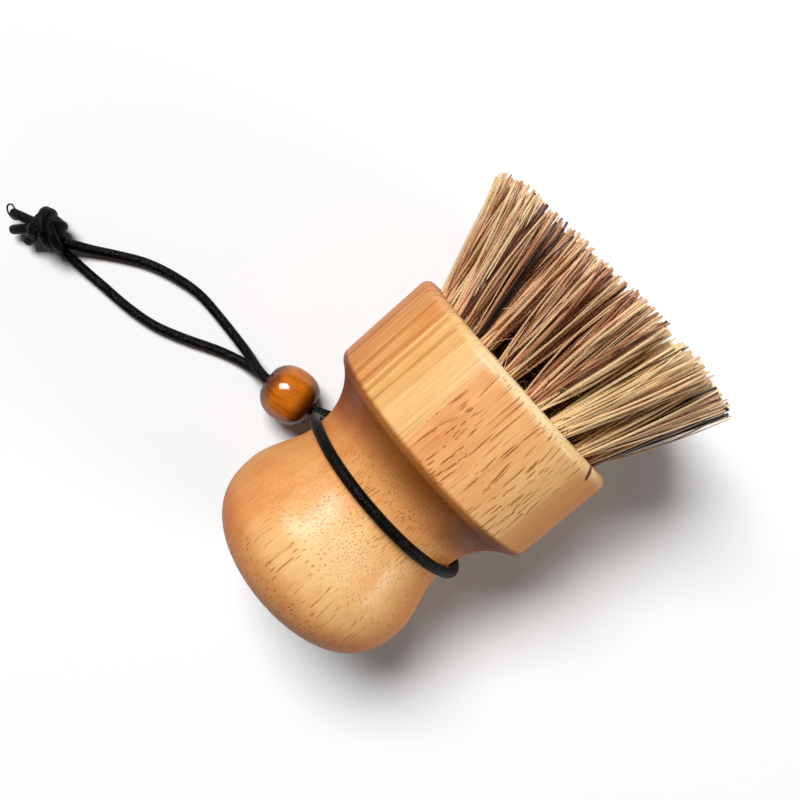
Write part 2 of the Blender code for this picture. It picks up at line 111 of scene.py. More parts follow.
# Tufts, in a centre hole and three rings about it, all drilled towards one apex behind the face.
RING_PITCH = 7.1 * MM
RING_COUNTS = (1, 6, 12, 18)
RING_NAMES = ("centre", "inner", "middle", "outer")
APEX_DEPTH = 60.0 * MM
HOLE_RADIUS = 2.55 * MM
HOLE_DEPTH = 9.0 * MM
HOLE_SIDES = 28
HOLE_OVERRUN = 4.0 * MM
HOLE_EASE = 0.3 * MM
BRISTLE_LENGTH = 25.4 * MM
TIP_SLOPE = 0.9 * MM

# Fibres of a tuft. Some cross over, and a tuft as a whole may lean a little.
FIBRES_PER_TUFT = 76
FIBRE_RADIUS = 0.42 * MM
FIBRE_THIN_SHARE = 0.26
FIBRE_TIP_SHARE = 0.72
FIBRE_POINTS = 6
FIBRE_SINK = 3.0 * MM
FIBRE_FILL_SHARE = 0.88
FIBRE_SPREAD = 1.7
FIBRE_ROUND_RING = 1.5
FIBRE_CROSS = 0.55
FIBRE_STRAY = 0.45 * MM
FIBRE_BOW = 0.5 * MM
FIBRE_SHORT = 1.7 * MM
FIBRE_LONG = 0.3 * MM
TUFT_LIFT = 0.9 * MM
TUFT_LEAN = 0.55 * MM
FIBRE_SIDES = 4
CLUMPS = 11
CLUMP_SHARE = 0.6
BOX_CLEARANCE = 0.02 * MM
FIBRE_SEED = 5
FIBRE_TURN = math.pi * (3 - math.sqrt(5))
FIBRE_TURN_ERROR = 0.3
FIBRE_BRIGHTNESS = (0.82, 1.12)

# Loose hairs that stand away from the tufts, some long and some curled up close to the face.
LOOSE_HAIRS = 54
LOOSE_HAIR_RADIUS = 0.13 * MM
LOOSE_HAIR_POINTS = 9
LOOSE_HAIR_LENGTH = (4.0 * MM, 12.0 * MM)
LOOSE_HAIR_LEAN = 0.5
LOOSE_HAIR_CURL = 0.34

# Cord, a round leather one. Its routes are the solid's, in millimetres from the floor's point under
# the bead's centre.
CORD_RADIUS = 1.15 * MM
CORD_CLEARANCE = 0.3 * MM
CORD_STEP = 0.5 * MM
CORD_ROUNDNESS = 5
CORD_SAMPLES = 12
CORD_OVERLAP = 1.2 * MM
CORD_UNEVEN = 0.012
CORD_DRIFTS = 5
CORD_DRIFT_PER_STEP = (0.05, 0.35)
RUN_ON_SHARES = (0.25, 0.5, 0.75, 1.0)
CENTRIPETAL = 0.5
NOOSE_START = math.radians(-95)
NOOSE_END = math.radians(-323)
NOOSE_STEP = math.radians(-14.25)
NOOSE_FORWARD = 0.7 * MM
BEAD_FROM_NECK = (-3.8 * MM, 30.0 * MM)
KNOT_FROM_BEAD = (-17.73 * MM, 66.0 * MM)
NOOSE_LOW_ROUTE = (
    (0.04, -0.15, 5.3), (0.75, -2.8, 5.3), (1.55, -5.6, 5.3), (3.1, -8.6, 5.3),
    (5.2, -12.2, 5.2), (6.5, -16.6, 5.0), (6.85, -21.6, 4.86),
    (6.6, -26.8, 4.82),
)
NOOSE_HIGH_ROUTE = (
    (2.6, -10.45, 35.2), (2.6, -8.92, 29.9), (2.55, -8.55, 25.1),
    (2.45, -8.95, 21.4), (2.4, -9.65, 18.3), (2.35, -10.12, 15.5),
    (2.25, -10.22, 12.8), (2.15, -9.88, 10.85), (1.95, -8.88, 9.27),
    (1.72, -7.35, 8.22), (1.5, -5.6, 7.9), (0.75, -2.8, 7.9),
    (0.04, -0.15, 7.9),
)
STRAND_HIGH_ROUTE = (
    (-0.04, 0.15, 7.9), (-0.78, 2.9, 7.9), (-1.5, 5.8, 7.85), (-1.65, 9.0, 6.7),
    (-1.5, 12.0, 4.6), (-1.35, 15.0, 2.7), (-1.25, 18.4, 1.55),
    (-0.95, 25.4, 1.2), (-1.0, 32.2, 1.2), (-2.4, 38.5, 1.2), (-5.5, 46.1, 1.2),
    (-9.9, 52.6, 1.25), (-13.3, 57.1, 1.8), (-15.3, 60.0, 2.9),
)
STRAND_LOW_ROUTE = (
    (-0.04, 0.15, 5.3), (-0.78, 2.9, 5.3), (-1.52, 5.8, 5.2), (-2.25, 8.6, 4.0),
    (-3.05, 11.3, 2.2), (-4.2, 14.7, 1.3), (-6.3, 19.4, 1.2),
    (-11.1, 28.0, 1.2), (-14.0, 34.3, 1.2), (-15.8, 41.3, 1.2),
    (-16.95, 49.3, 1.2), (-17.8, 55.8, 1.7), (-18.05, 59.7, 2.9),
)

# Bead.
BEAD_RADIUS = 6.6 * MM
BEAD_LENGTH = 12.0 * MM
BEAD_ROUNDNESS = 2.35
BEAD_BORE = 2.7 * MM
BEAD_MOUTH = 0.6 * MM
BEAD_STEPS = 96
BEAD_POINTS = 41

# Knot: four turns about a core, each with its tilt in degrees, and its shift along the cord and its
# radius in millimetres.
KNOT_HEIGHT = 5.1 * MM
KNOT_RADIUS = 3.6 * MM
KNOT_ROOT_LENGTH = 3.4 * MM
KNOT_STEPS = 64
KNOT_SIDES = 24
KNOT_CORE_SUBDIVISIONS = 4
KNOT_SHIFT = (0.9 * MM, -0.35 * MM)
KNOT_TURNS = (
    (-49, -1.6, 3.6),
    (-37, 0.6, 3.85),
    (6, 2.3, 3.3),
    (49, 0.9, 3.5),
)

# Each tail's heading on the floor, its rise where it leaves the knot and the angle that it bends
# through, in degrees.
TAIL_BEND = 11.5 * MM
TAIL_START_SHARE = 0.5
TAIL_STEPS = 20
TAILS = (
    (114.5, 9, 44),
    (136, 2, 43),
    (159, -14, 27),
)

# A thin peel that curls from the end of the first tail, in millimetres from the knot's centre.
PEEL_RADIUS = 0.2 * MM
PEEL_ROUNDNESS = 2
PEEL = (
    (-3.70, 8.90, -1.6), (-3.20, 9.90, -1.1), (-3.10, 10.80, -1.0),
    (-3.90, 11.35, -1.2), (-4.80, 10.80, -1.6), (-5.30, 9.70, -2.0),
    (-5.20, 8.30, -2.2), (-4.60, 7.50, -1.9),
)

# Floor and tent. The tent's two heights are sines of the angle above the horizon.
FLOOR_HALF = 4.0
FLOOR_WHITE = (0.985, 0.985, 0.985, 1)
FLOOR_BOUNCE = (0.13, 0.095, 0.07, 1)
FLOOR_GLOSS = {"Roughness": 0.9, "Specular IOR Level": 0.0}
TENT_COLOUR = (1, 1, 1, 1)
TENT_WHITE_TO = 0.24
TENT_DARK_FROM = 0.50
TENT_LOW = 0.16
TENT_TOP = 0.022

# Lamps: the way to each, its distance, its width and height, and its share of full brightness. They
# are a soft key, a low fill from the other side and a small window for the gloss.
LAMPS = {
    "key": ((0.175, 0.50, 0.83), 2.5, (1.3, 0.9), 0.89),
    "fill": ((0.30, -0.89, 0.28), 2.5, (1.2, 0.4), 0.105),
    "window": ((0.354, 0.385, 0.853), 1.6, (0.36, 0.14), 0.06),
}

# Sockets of Blender's Mix node when it mixes colours.
MIX_AMOUNT = 0
MIX_UNDER = 6
MIX_OVER = 7
MIX_COLOUR = 2

JOINTS = {joint["name"]: joint for joint in frame["joints"]}
TURN_AXIS = Vector(JOINTS["cord_turn"]["axis"]).normalized()
NECK_CENTRE = Vector(JOINTS["cord_turn"]["pos_m"])
SLIDE_AXIS = Vector(JOINTS["bead_slide"]["axis"]).normalized()
BEAD_FLOOR = Vector((NECK_CENTRE.x + BEAD_FROM_NECK[0], NECK_CENTRE.y + BEAD_FROM_NECK[1], 0))
KNOT_CENTRE = BEAD_FLOOR + Vector((*KNOT_FROM_BEAD, KNOT_HEIGHT)) + Vector((*KNOT_SHIFT, 0))


class Nodes:
    """Adds nodes to the tree of a material or of the world."""

    def __init__(self, tree):
        self.tree = tree

    def put(self, kind, inputs=None, **settings):
        """Adds a node. An input is linked to the socket that it is given, or else set."""
        made = self.tree.nodes.new(kind)
        for name, value in settings.items():
            setattr(made, name, value)
        for key, value in (inputs or {}).items():
            if isinstance(value, bpy.types.NodeSocket):
                self.tree.links.new(value, made.inputs[key])
            else:
                made.inputs[key].default_value = value
        return made

    def calc(self, operation, *values):
        return self.put("ShaderNodeMath", dict(enumerate(values)), operation=operation).outputs[0]

    def vector(self, operation, *values):
        made = self.put("ShaderNodeVectorMath", dict(enumerate(values)), operation=operation)
        return made.outputs[0]

    def plus(self, a, b):
        return self.calc("ADD", a, b)

    def minus(self, a, b):
        return self.calc("SUBTRACT", a, b)

    def most(self, a, b):
        return self.calc("MAXIMUM", a, b)

    def times(self, product, *factors):
        for factor in factors:
            product = self.calc("MULTIPLY", product, factor)
        return product

    def split(self, vector):
        return self.put("ShaderNodeSeparateXYZ", {0: vector}).outputs

    def ease(self, value, start, end, low=0.0, high=1.0):
        """Goes smoothly from low to high as value goes from start to end."""
        inputs = {"Value": value, "From Min": start, "From Max": end, "To Min": low, "To Max": high}
        made = self.put("ShaderNodeMapRange", inputs, interpolation_type="SMOOTHSTEP")
        return made.outputs["Result"]

    def between(self, share, low, high):
        """Goes smoothly from low to high as a share goes from 0 to 1."""
        return self.ease(share, 0.0, 1.0, low, high)

    def cover(self, under, over, amount, way="MIX"):
        """Lays one colour over another."""
        inputs = {MIX_AMOUNT: amount, MIX_UNDER: under, MIX_OVER: over}
        made = self.put("ShaderNodeMix", inputs, data_type="RGBA", blend_type=way)
        return made.outputs[MIX_COLOUR]

    def stain(self, under, over, amount):
        """Multiplies one colour by another."""
        return self.cover(under, over, amount, "MULTIPLY")


class Finish(Nodes):
    """A material of one Principled shader with the given plain values, and the nodes that drive it.

    With a matrix, place is the point's place in millimetres in the matrix's frame. Patterns go by
    it, and a pattern's cell is its size along each axis."""

    def __init__(self, name, values, matrix=None):
        self.material = bpy.data.materials.new(name)
        self.material.use_nodes = True
        super().__init__(self.material.node_tree)
        self.shader = self.tree.nodes["Principled BSDF"]
        for key, value in values.items():
            self.shader.inputs[key].default_value = value
        if matrix is not None:
            inputs = {
                "Vector": self.put("ShaderNodeTexCoord").outputs["Object"],
                "Location": matrix.translation,
                "Rotation": matrix.to_euler(),
                "Scale": (MM, MM, MM),
            }
            self.place = self.put("ShaderNodeMapping", inputs, vector_type="TEXTURE").outputs[0]

    def drive(self, value, *inputs):
        for name in inputs:
            self.tree.links.new(value, self.shader.inputs[name])

    def moved(self, *shifts):
        """The place, moved by each shift in turn."""
        place = self.place
        for shift in shifts:
            place = self.vector("ADD", place, shift)
        return place

    def noise(self, cell, detail=2.0, roughness=0.5, output="Fac", place=None):
        scaled = self.vector("DIVIDE", self.place if place is None else place, cell)
        inputs = {"Vector": scaled, "Scale": 1.0, "Detail": detail, "Roughness": roughness}
        return self.put("ShaderNodeTexNoise", inputs).outputs[output]

    def wander(self, cell, reach, detail=2.0):
        """A shift by noise, up to reach along each axis."""
        cloud = self.noise(cell, detail, output="Color")
        return self.vector("MULTIPLY_ADD", cloud, reach, tuple(-r / 2 for r in reach))

    def cells(self, place, cell, randomness=1.0, dimensions="3D"):
        """Distance to the nearest cell's point, and that cell's own chance value."""
        scaled = self.vector("DIVIDE", place, cell)
        inputs = {"Vector": scaled, "Scale": 1.0, "Randomness": randomness}
        made = self.put("ShaderNodeTexVoronoi", inputs, voronoi_dimensions=dimensions)
        return made.outputs["Distance"], self.split(made.outputs["Color"])[0]

    def raised(self, height, distance, strength=1.0):
        inputs = {"Height": height, "Distance": distance, "Strength": strength}
        return self.put("ShaderNodeBump", inputs).outputs[0]


def brush_place():
    """The brush's own frame: origin at the knob's end, +Z to the bristles, -X up."""
    down = LEVEL.cross(TURN_AXIS)
    turn = Matrix((down, LEVEL, TURN_AXIS)).transposed().to_4x4()
    noose_station = NECK_STATION + NECK_LENGTH / 2 + NOOSE_FORWARD
    return Matrix.Translation(NECK_CENTRE - TURN_AXIS * noose_station) @ turn


def handle_outline():
    """(radius, station) pairs from the knob's pole to the edge of the bristle face."""
    points = [(0.0, 0.0)]
    for i in range(1, KNOB_POINTS + 1):
        turn = math.pi / 2 * i / KNOB_POINTS
        station = KNOB_LENGTH * (1 - math.cos(turn) ** (2 / KNOB_ROUNDNESS))
        points.append((KNOB_RADIUS * math.sin(turn) ** (2 / KNOB_ROUNDNESS), station))
    for i in range(1, WAIST_POINTS + 1):
        share = i / WAIST_POINTS
        drop = (1 - math.cos(math.pi * share)) / 2
        radius = KNOB_RADIUS - (KNOB_RADIUS - NECK_RADIUS) * drop
        points.append((radius, KNOB_LENGTH + WAIST_LENGTH * share))
    for i in range(COVE_POINTS + 1):
        turn = COVE_TURN * i / COVE_POINTS
        radius = NECK_RADIUS + COVE_RADIUS * (1 - math.cos(turn))
        points.append((radius, COVE_STATION + COVE_RADIUS * math.sin(turn)))
    for i in range(1, ROUND_POINTS + 1):
        turn = COVE_TURN * (1 - i / ROUND_POINTS)
        radius = BLOCK_RADIUS - RIM_ROUND * (1 - math.cos(turn))
        points.append((radius, RIM_STATION - RIM_ROUND * math.sin(turn)))
    for i in range(ROUND_POINTS + 1):
        turn = math.pi / 2 * i / ROUND_POINTS
        station = FACE_STATION - FACE_ROUND * (1 - math.sin(turn))
        points.append((BLOCK_RADIUS - FACE_ROUND * (1 - math.cos(turn)), station))
    return points


def spin_round(bm, geom, centre, axis, steps):
    bmesh.ops.spin(
        bm, geom=geom, cent=centre, axis=axis, angle=2 * math.pi, steps=steps, use_merge=True
    )


def close_ends(bm):
    bmesh.ops.holes_fill(bm, edges=[e for e in bm.edges if e.is_boundary], sides=0)


def turned(outline, steps, name, matrix, closed_profile=False):
    """Spins an outline of (radius, station) pairs once round the Z axis of matrix."""
    bm = bmesh.new()
    verts = [bm.verts.new((radius, 0, station)) for radius, station in outline]
    edges = [bm.edges.new(pair) for pair in zip(verts, verts[1:])]
    if closed_profile:
        edges.append(bm.edges.new((verts[-1], verts[0])))
    spin_round(bm, verts + edges, (0, 0, 0), UP, steps)
    poles = [v for v in bm.verts if math.hypot(v.co.x, v.co.y) < POLE_MERGE]
    bmesh.ops.remove_doubles(bm, verts=poles, dist=POLE_MERGE)
    close_ends(bm)
    bmesh.ops.transform(bm, matrix=matrix, verts=bm.verts)
    return mesh_from(bm, name)


def mesh_from(bm, name):
    bmesh.ops.recalc_face_normals(bm, faces=bm.faces)
    data = bpy.data.meshes.new(name)
    bm.to_mesh(data)
    bm.free()
    return data


def show(name, data):
    made = bpy.data.objects.new(name, data)
    bpy.context.scene.collection.objects.link(made)
    return made


def made_mesh(obj, name):
    """The mesh that an object's modifiers or bevel make, as its own data. The object goes."""
    bpy.context.view_layer.update()
    graph = bpy.context.evaluated_depsgraph_get()
    data = bpy.data.meshes.new_from_object(obj.evaluated_get(graph), depsgraph=graph)
    bpy.data.objects.remove(obj, do_unlink=True)
    data.name = name
    return data


def piece(name, data, finish, body, slot, *nodes, smooth=SMOOTH_BELOW):
    """A finished piece that rides on a body and stands for CAD nodes."""
    data.shade_smooth()
    if smooth is not None:
        data.set_sharp_from_angle(angle=smooth)
    data.materials.clear()
    data.materials.append(finish)
    made = show(name, data)
    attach(made, body)
    if nodes:
        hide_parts(*nodes)
    return made


def turn_to(direction):
    return UP.rotation_difference(direction).to_matrix().to_4x4()


def aimed(obj, place, back, right):
    """Puts a camera or a lamp at a place, with its back to one direction and +X along another."""
    up = back.cross(right).normalized()
    right = up.cross(back)
    turn = Matrix((right, up, back)).transposed().to_4x4()
    obj.matrix_world = Matrix.Translation(place) @ turn
    return obj


def heading(turn):
    """The level direction at an angle from +X."""
    return Vector((math.cos(turn), math.sin(turn), 0))


def make_camera():
    data = bpy.data.cameras.new("camera")
    data.lens = CAMERA_LENS
    data.sensor_width = CAMERA_FILM
    data.clip_start = MM
    back = Vector((math.sin(CAMERA_LEAN), 0, math.cos(CAMERA_LEAN)))
    camera = aimed(show("camera", data), Vector(CAMERA_PLACE), back, heading(CAMERA_TURN))
    bpy.context.scene.camera = camera


def smooth_route(points):
    """Points a step apart on a centripetal Catmull-Rom curve through the route's own points."""
    ends = [points[0] * 2 - points[1], *points, points[-1] * 2 - points[-2]]
    fine = []
    for p0, p1, p2, p3 in zip(ends, ends[1:], ends[2:], ends[3:]):
        t1 = (p1 - p0).length ** CENTRIPETAL
        t2 = t1 + (p2 - p1).length ** CENTRIPETAL
        t3 = t2 + (p3 - p2).length ** CENTRIPETAL
        for i in range(CORD_SAMPLES):
            t = t1 + (t2 - t1) * i / CORD_SAMPLES
            a = p0 + (p1 - p0) * (t / t1)
            b = p1 + (p2 - p1) * ((t - t1) / (t2 - t1))
            c = p2 + (p3 - p2) * ((t - t2) / (t3 - t2))
            d = a + (b - a) * (t / t2)
            e = b + (c - b) * ((t - t1) / (t3 - t1))
            fine.append(d + (e - d) * ((t - t1) / (t2 - t1)))
    fine.append(points[-1])
    travelled = np.cumsum([0] + [(b - a).length for a, b in zip(fine, fine[1:])])
    count = max(2, round(travelled[-1] / CORD_STEP) + 1)
    at = np.linspace(0, travelled[-1], count)
    spread = np.array([tuple(p) for p in fine])
    columns = [np.interp(at, travelled, spread[:, k]) for k in range(3)]
    return [Vector(point) for point in zip(*columns)]


def tube_mesh(name, path, radius, factors=None, roundness=CORD_ROUNDNESS):
    """A round tube along a path, with flat closed ends. The factors are of its radius."""
    data = bpy.data.curves.new(name, "CURVE")
    data.dimensions = "3D"
    data.bevel_depth = radius
    data.bevel_resolution = roundness
    data.use_fill_caps = True
    spline = data.splines.new("POLY")
    spline.points.add(len(path) - 1)
    for spot, place, factor in zip(spline.points, path, factors or [1.0] * len(path)):
        spot.co = (*place, 1)
        spot.radius = factor
    return made_mesh(show(name, data), name)


def uneven(count, chance):
    """Radius factors that drift slowly, as a hand-cut round cord's do."""
    drifts = [
        (chance.uniform(*CORD_DRIFT_PER_STEP), chance.uniform(0, math.tau))
        for _ in range(CORD_DRIFTS)
    ]
    factors = []
    for i in range(count):
        drift = sum((1 + math.sin(i * pace + start)) / 2 for pace, start in drifts) / CORD_DRIFTS
        factors.append(1 - CORD_UNEVEN * drift)
    return factors


def neck_ring(turn):
    """A point of the cord's line about the neck, at an angle from +Y towards the top."""
    radius = NECK_RADIUS + CORD_CLEARANCE + CORD_RADIUS
    up = TURN_AXIS.cross(LEVEL)
    return NECK_CENTRE + (LEVEL * math.cos(turn) + up * math.sin(turn)) * radius


def routed(steps):
    return [BEAD_FLOOR + Vector(step) * MM for step in steps]


def run_on(path, length):
    """The path, carried straight on past its end."""
    ahead = (path[-1] - path[-2]).normalized()
    return path + [path[-1] + ahead * length * share for share in RUN_ON_SHARES]


def noose_path():
    turns = np.arange(NOOSE_START, NOOSE_END + NOOSE_STEP / 2, NOOSE_STEP)
    ring = [neck_ring(turn) for turn in turns]
    path = smooth_route(routed(NOOSE_LOW_ROUTE) + ring + routed(NOOSE_HIGH_ROUTE))
    return run_on(run_on(path, CORD_OVERLAP)[::-1], CORD_OVERLAP)[::-1]


def strand_path(steps):
    return run_on(smooth_route(routed(steps)), KNOT_ROOT_LENGTH)


def make_cord(name, node, path, finish, chance):
    data = tube_mesh(name, path, CORD_RADIUS, uneven(len(path), chance))
    keep_inside(data.vertices)
    cord = piece(name, data, finish, "cord", "leather", node)
    return cord


def draw_straight(strand):
    """Gives the strand a copy of its mesh of its own."""
    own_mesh(strand)


# Leather. Here and below, the cells of patterns are in millimetres, along X, Y and Z.
LEATHER_GLOSS = {
    "Specular IOR Level": 0.03,
    "Coat Weight": 0.06,
    "Coat Roughness": 0.12,
    "Coat IOR": 1.8,
}
LEATHER_BLACK = (0.0020, 0.0016, 0.0014, 1)
LEATHER_WORN = (0.011, 0.010, 0.009, 1)
LEATHER_FOLD_CELL = (1.1, 1.1, 1.1)
LEATHER_FOLD_REACH = (0.5, 0.5, 0.5)
LEATHER_CREASE_CELL = (0.55, 0.55, 0.55)
LEATHER_GRAIN_CELL = (0.16, 0.16, 0.16)
LEATHER_WEAR_CELL = (2.4, 2.4, 2.4)
LEATHER_WEAR = (0.45, 0.75)
LEATHER_CREASE_HEIGHT = 0.7
LEATHER_GRAIN_HEIGHT = 0.45
LEATHER_RELIEF = 0.20 * MM
LEATHER_ROUGHNESS = 0.3
LEATHER_CREASE_ROUGHNESS = 0.16


def black_leather():
    """Round black leather, dressed on its skin side: fine creases, and dull where they open."""
    finish = Finish("black_leather", LEATHER_GLOSS, Matrix.Identity(4))
    fold = finish.wander(LEATHER_FOLD_CELL, LEATHER_FOLD_REACH)
    crease, _ = finish.cells(finish.moved(fold), LEATHER_CREASE_CELL)
    grain = finish.noise(LEATHER_GRAIN_CELL, detail=3)
    worn = finish.ease(finish.noise(LEATHER_WEAR_CELL, detail=3), *LEATHER_WEAR)
    tone = finish.cover(LEATHER_BLACK, LEATHER_WORN, finish.times(worn, crease))
    finish.drive(tone, "Base Color")
    fine = finish.times(grain, LEATHER_GRAIN_HEIGHT)
    height = finish.plus(finish.times(crease, LEATHER_CREASE_HEIGHT), fine)
    finish.drive(finish.raised(height, LEATHER_RELIEF), "Normal", "Coat Normal")
    dull = finish.times(crease, LEATHER_CREASE_ROUGHNESS)
    finish.drive(finish.plus(LEATHER_ROUGHNESS, dull), "Roughness")
    return finish.material


# Bamboo: its boards are glued in layers, and each layer in strips. All places are in millimetres in
# the brush's own frame: -X is up, +Y the far side, where the cord lies, and +Z the bristles' way.
BAMBOO_GLOSS = {
    "Specular IOR Level": 0.04,
    "Coat Weight": 0.085,
    "Coat Roughness": 0.24,
    "Coat IOR": 2.4,
}
BAMBOO_PALE = (0.98, 0.60, 0.245, 1)
BAMBOO_HONEY = (0.97, 0.50, 0.20, 1)
BAMBOO_ORANGE = (0.80, 0.31, 0.085, 1)
BAMBOO_PALE_RIM_AND_SHEEN = (1.0, 0.82, 0.48, 1)
BAMBOO_HIGHLIGHT_GLOW = (1.0, 0.72, 0.36, 1)
BAMBOO_FAR_SIDE_SHADE = (0.80, 0.66, 0.50, 1)
BAMBOO_NECK_SHADE = (0.90, 0.78, 0.66, 1)
BAMBOO_COVE_SHADE_AND_END_GRAIN = (0.50, 0.34, 0.20, 1)
BAMBOO_LIMB_SHADE = (0.94, 0.66, 0.43, 1)
BAMBOO_END_SHADE = (0.80, 0.62, 0.50, 1)
BAMBOO_HOLLOW_SHADE = (0.68, 0.56, 0.44, 1)
BAMBOO_BUNDLE = (0.52, 0.36, 0.25, 1)
BAMBOO_STREAK = (0.74, 0.56, 0.40, 1)
BAMBOO_GAP = (0.13, 0.016, 0.007, 1)
TOP_GLUE = -19.8
LAYER_PITCH = 13.2
STRIP_EDGE = 6.2
STRIP_WIDTH = 24.7
STRIP_STAGGER = 0.37
TOP_SHEET = -0.5
NOISE_MEAN = 0.5
NODE_STATION = 53.0
HIGHLIGHT_AT = (-23.0, -1.0, 22.5)

# Cells of the bamboo's noise. Those that are long along Z follow the grain.
WAVE_CELL = (9.0, 9.0, 30.0)
CLOUD_CELL = (11.0, 11.0, 26.0)
BAND_CELL = (2.6, 2.6, 90.0)
STREAK_CELL = (1.15, 1.15, 80.0)
FIBRE_CELL = (0.22, 0.22, 7.0)
PATCH_CELL = (2.0, 2.0, 4.0)
DEPTH_CELL = (2.6, 2.6, 7.0)
SWIRL_CELL = (1.5, 1.5, 1.6)
SLOW_CELL = (6.0, 6.0, 13.0)
WAVE_REACH = 2.4
PATCH_REACH = 2.0
SWIRL_REACH = (1.1, 1.1, 0.0)
SLOW_REACH = (2.4, 2.4, 0.0)
STREAK_ROUGHNESS = 0.6

# Where the bamboo's zones start and end, along the axis that ends the name or round the handle, and
# the amount at either end where it isn't none and all.
ON_BLOCK_Z = (45.7, 46.7)
ON_KNOB_Z = (25.0, 19.0)
KNOB_TOP_LIGHT_X = (-19.0, -23.0)
HIGHLIGHT_REACH = (11.0, 3.0, 0.0, 0.6)
RIM_SHEEN_Z = (66.6, 69.6)
RIM_SHEEN_TOP_X = (-12.0, -16.0)
RIM_SHEEN_SIDE_Y = (16.0, 4.0, 0.3, 1.0)
FAR_SIDE_SHADE_Y = (6.0, 24.0)
NEAR_SIDE_LIGHT_Y = (-7.0, -15.0, 0.0, 0.6)
NEAR_SIDE_LIGHT_Z = (10.0, 20.0)
LIMB_SHADE_ROUND = (-0.60, -0.90)
LIMB_SHADE_Z = (68.0, 66.0)
END_Z = (14.0, 8.0)
NODE_REACH = (2.4, 0.6)
PLAIN_SIDE_Y = (16.0, 9.0, 0.12, 1.0)
CLEAR_END_Z = (2.5, 6.5)
BLOCK_BUNDLES_Z = (68.4, 66.8, 0.3, 1.0)
NECK_SIDE_Y = (4.0, 12.0)
NECK_SIDE_Z = (24.0, 33.0)
NECK_Z = (29.0, 36.0)
HOLLOW_Z = (35.0, 39.0)
HOLLOW_NEAR_ROUND = (-0.42, -0.60)
HOLLOW_FAR_ROUND = (0.62, 0.90)
COVE_Z = (35.5, 43.0)
COVE_END_Z = (47.2, 46.0)
POLE_Z = (3.0, 0.5, 0.0, 0.6)

# How strong each tone is: over its noise, or off and on the block or the top board.
INNER_BOARD_VARIES = 0.4
HONEY_OFF_BLOCK = 0.75
CLOUD_PALE = (0.42, 0.72, 0.0, 0.5)
CLOUD_ORANGE = (0.5, 0.25, 0.0, 0.6)
KNOB_TOP_LIGHT_AMOUNT = 0.6
BAND = (0.44, 0.62, 0.0, 0.30)
BAND_ON_BLOCK = (0.4, 1.0)
STREAK = (0.53, 0.60)
STREAK_ON_TOP = (1.0, 0.30)
STREAK_ON_BLOCK = (0.12, 0.8)
FIBRE_LINE = (0.46, 0.70, 0.0, 0.40)
RIM_SHEEN_AMOUNT = 0.9
FAR_SIDE_SHADE_ON_BLOCK = (1.0, 0.45)

# Fibre bundles: the pitch of their cells along X and Y, and their thickness in a cell.
BLOCK_BUNDLES = (0.74, 0.72, 0.31)
KNOB_BUNDLES = (0.60, 1.25, 0.20)
NECK_BUNDLES = (0.40, 0.64, 0.23)
BUNDLE_RANDOMNESS = 0.85
BUNDLES_KEPT = 0.93
BUNDLES_ON_TOP = (0.08, 1.0)
BUNDLE_DEPTH = (0.3, 0.62, 0.3, 1.0)
FINE_BUNDLE_AMOUNT = 0.85
GRAIN_SLOPES = (0.15, 0.09)

# The small crack at the block's rim, and the way it leans from Z to Y.
GAP_AT = (-21.0, 67.6)
GAP_SIZE = (0.44, 1.6)
GAP_SLANT = 0.43
GAP_REACH = (1.2, 0.6)
GAP_TOP_X = -8.0

BAMBOO_ROUGHNESS = 0.40
BUNDLE_ROUGHNESS = 0.2
FIBRE_ROUGHNESS = 0.06
FIBRE_HEIGHT = 0.35
GAP_DEPTH = 1.5
BAMBOO_RELIEF = 0.05 * MM
BAMBOO_RELIEF_STRENGTH = 0.7


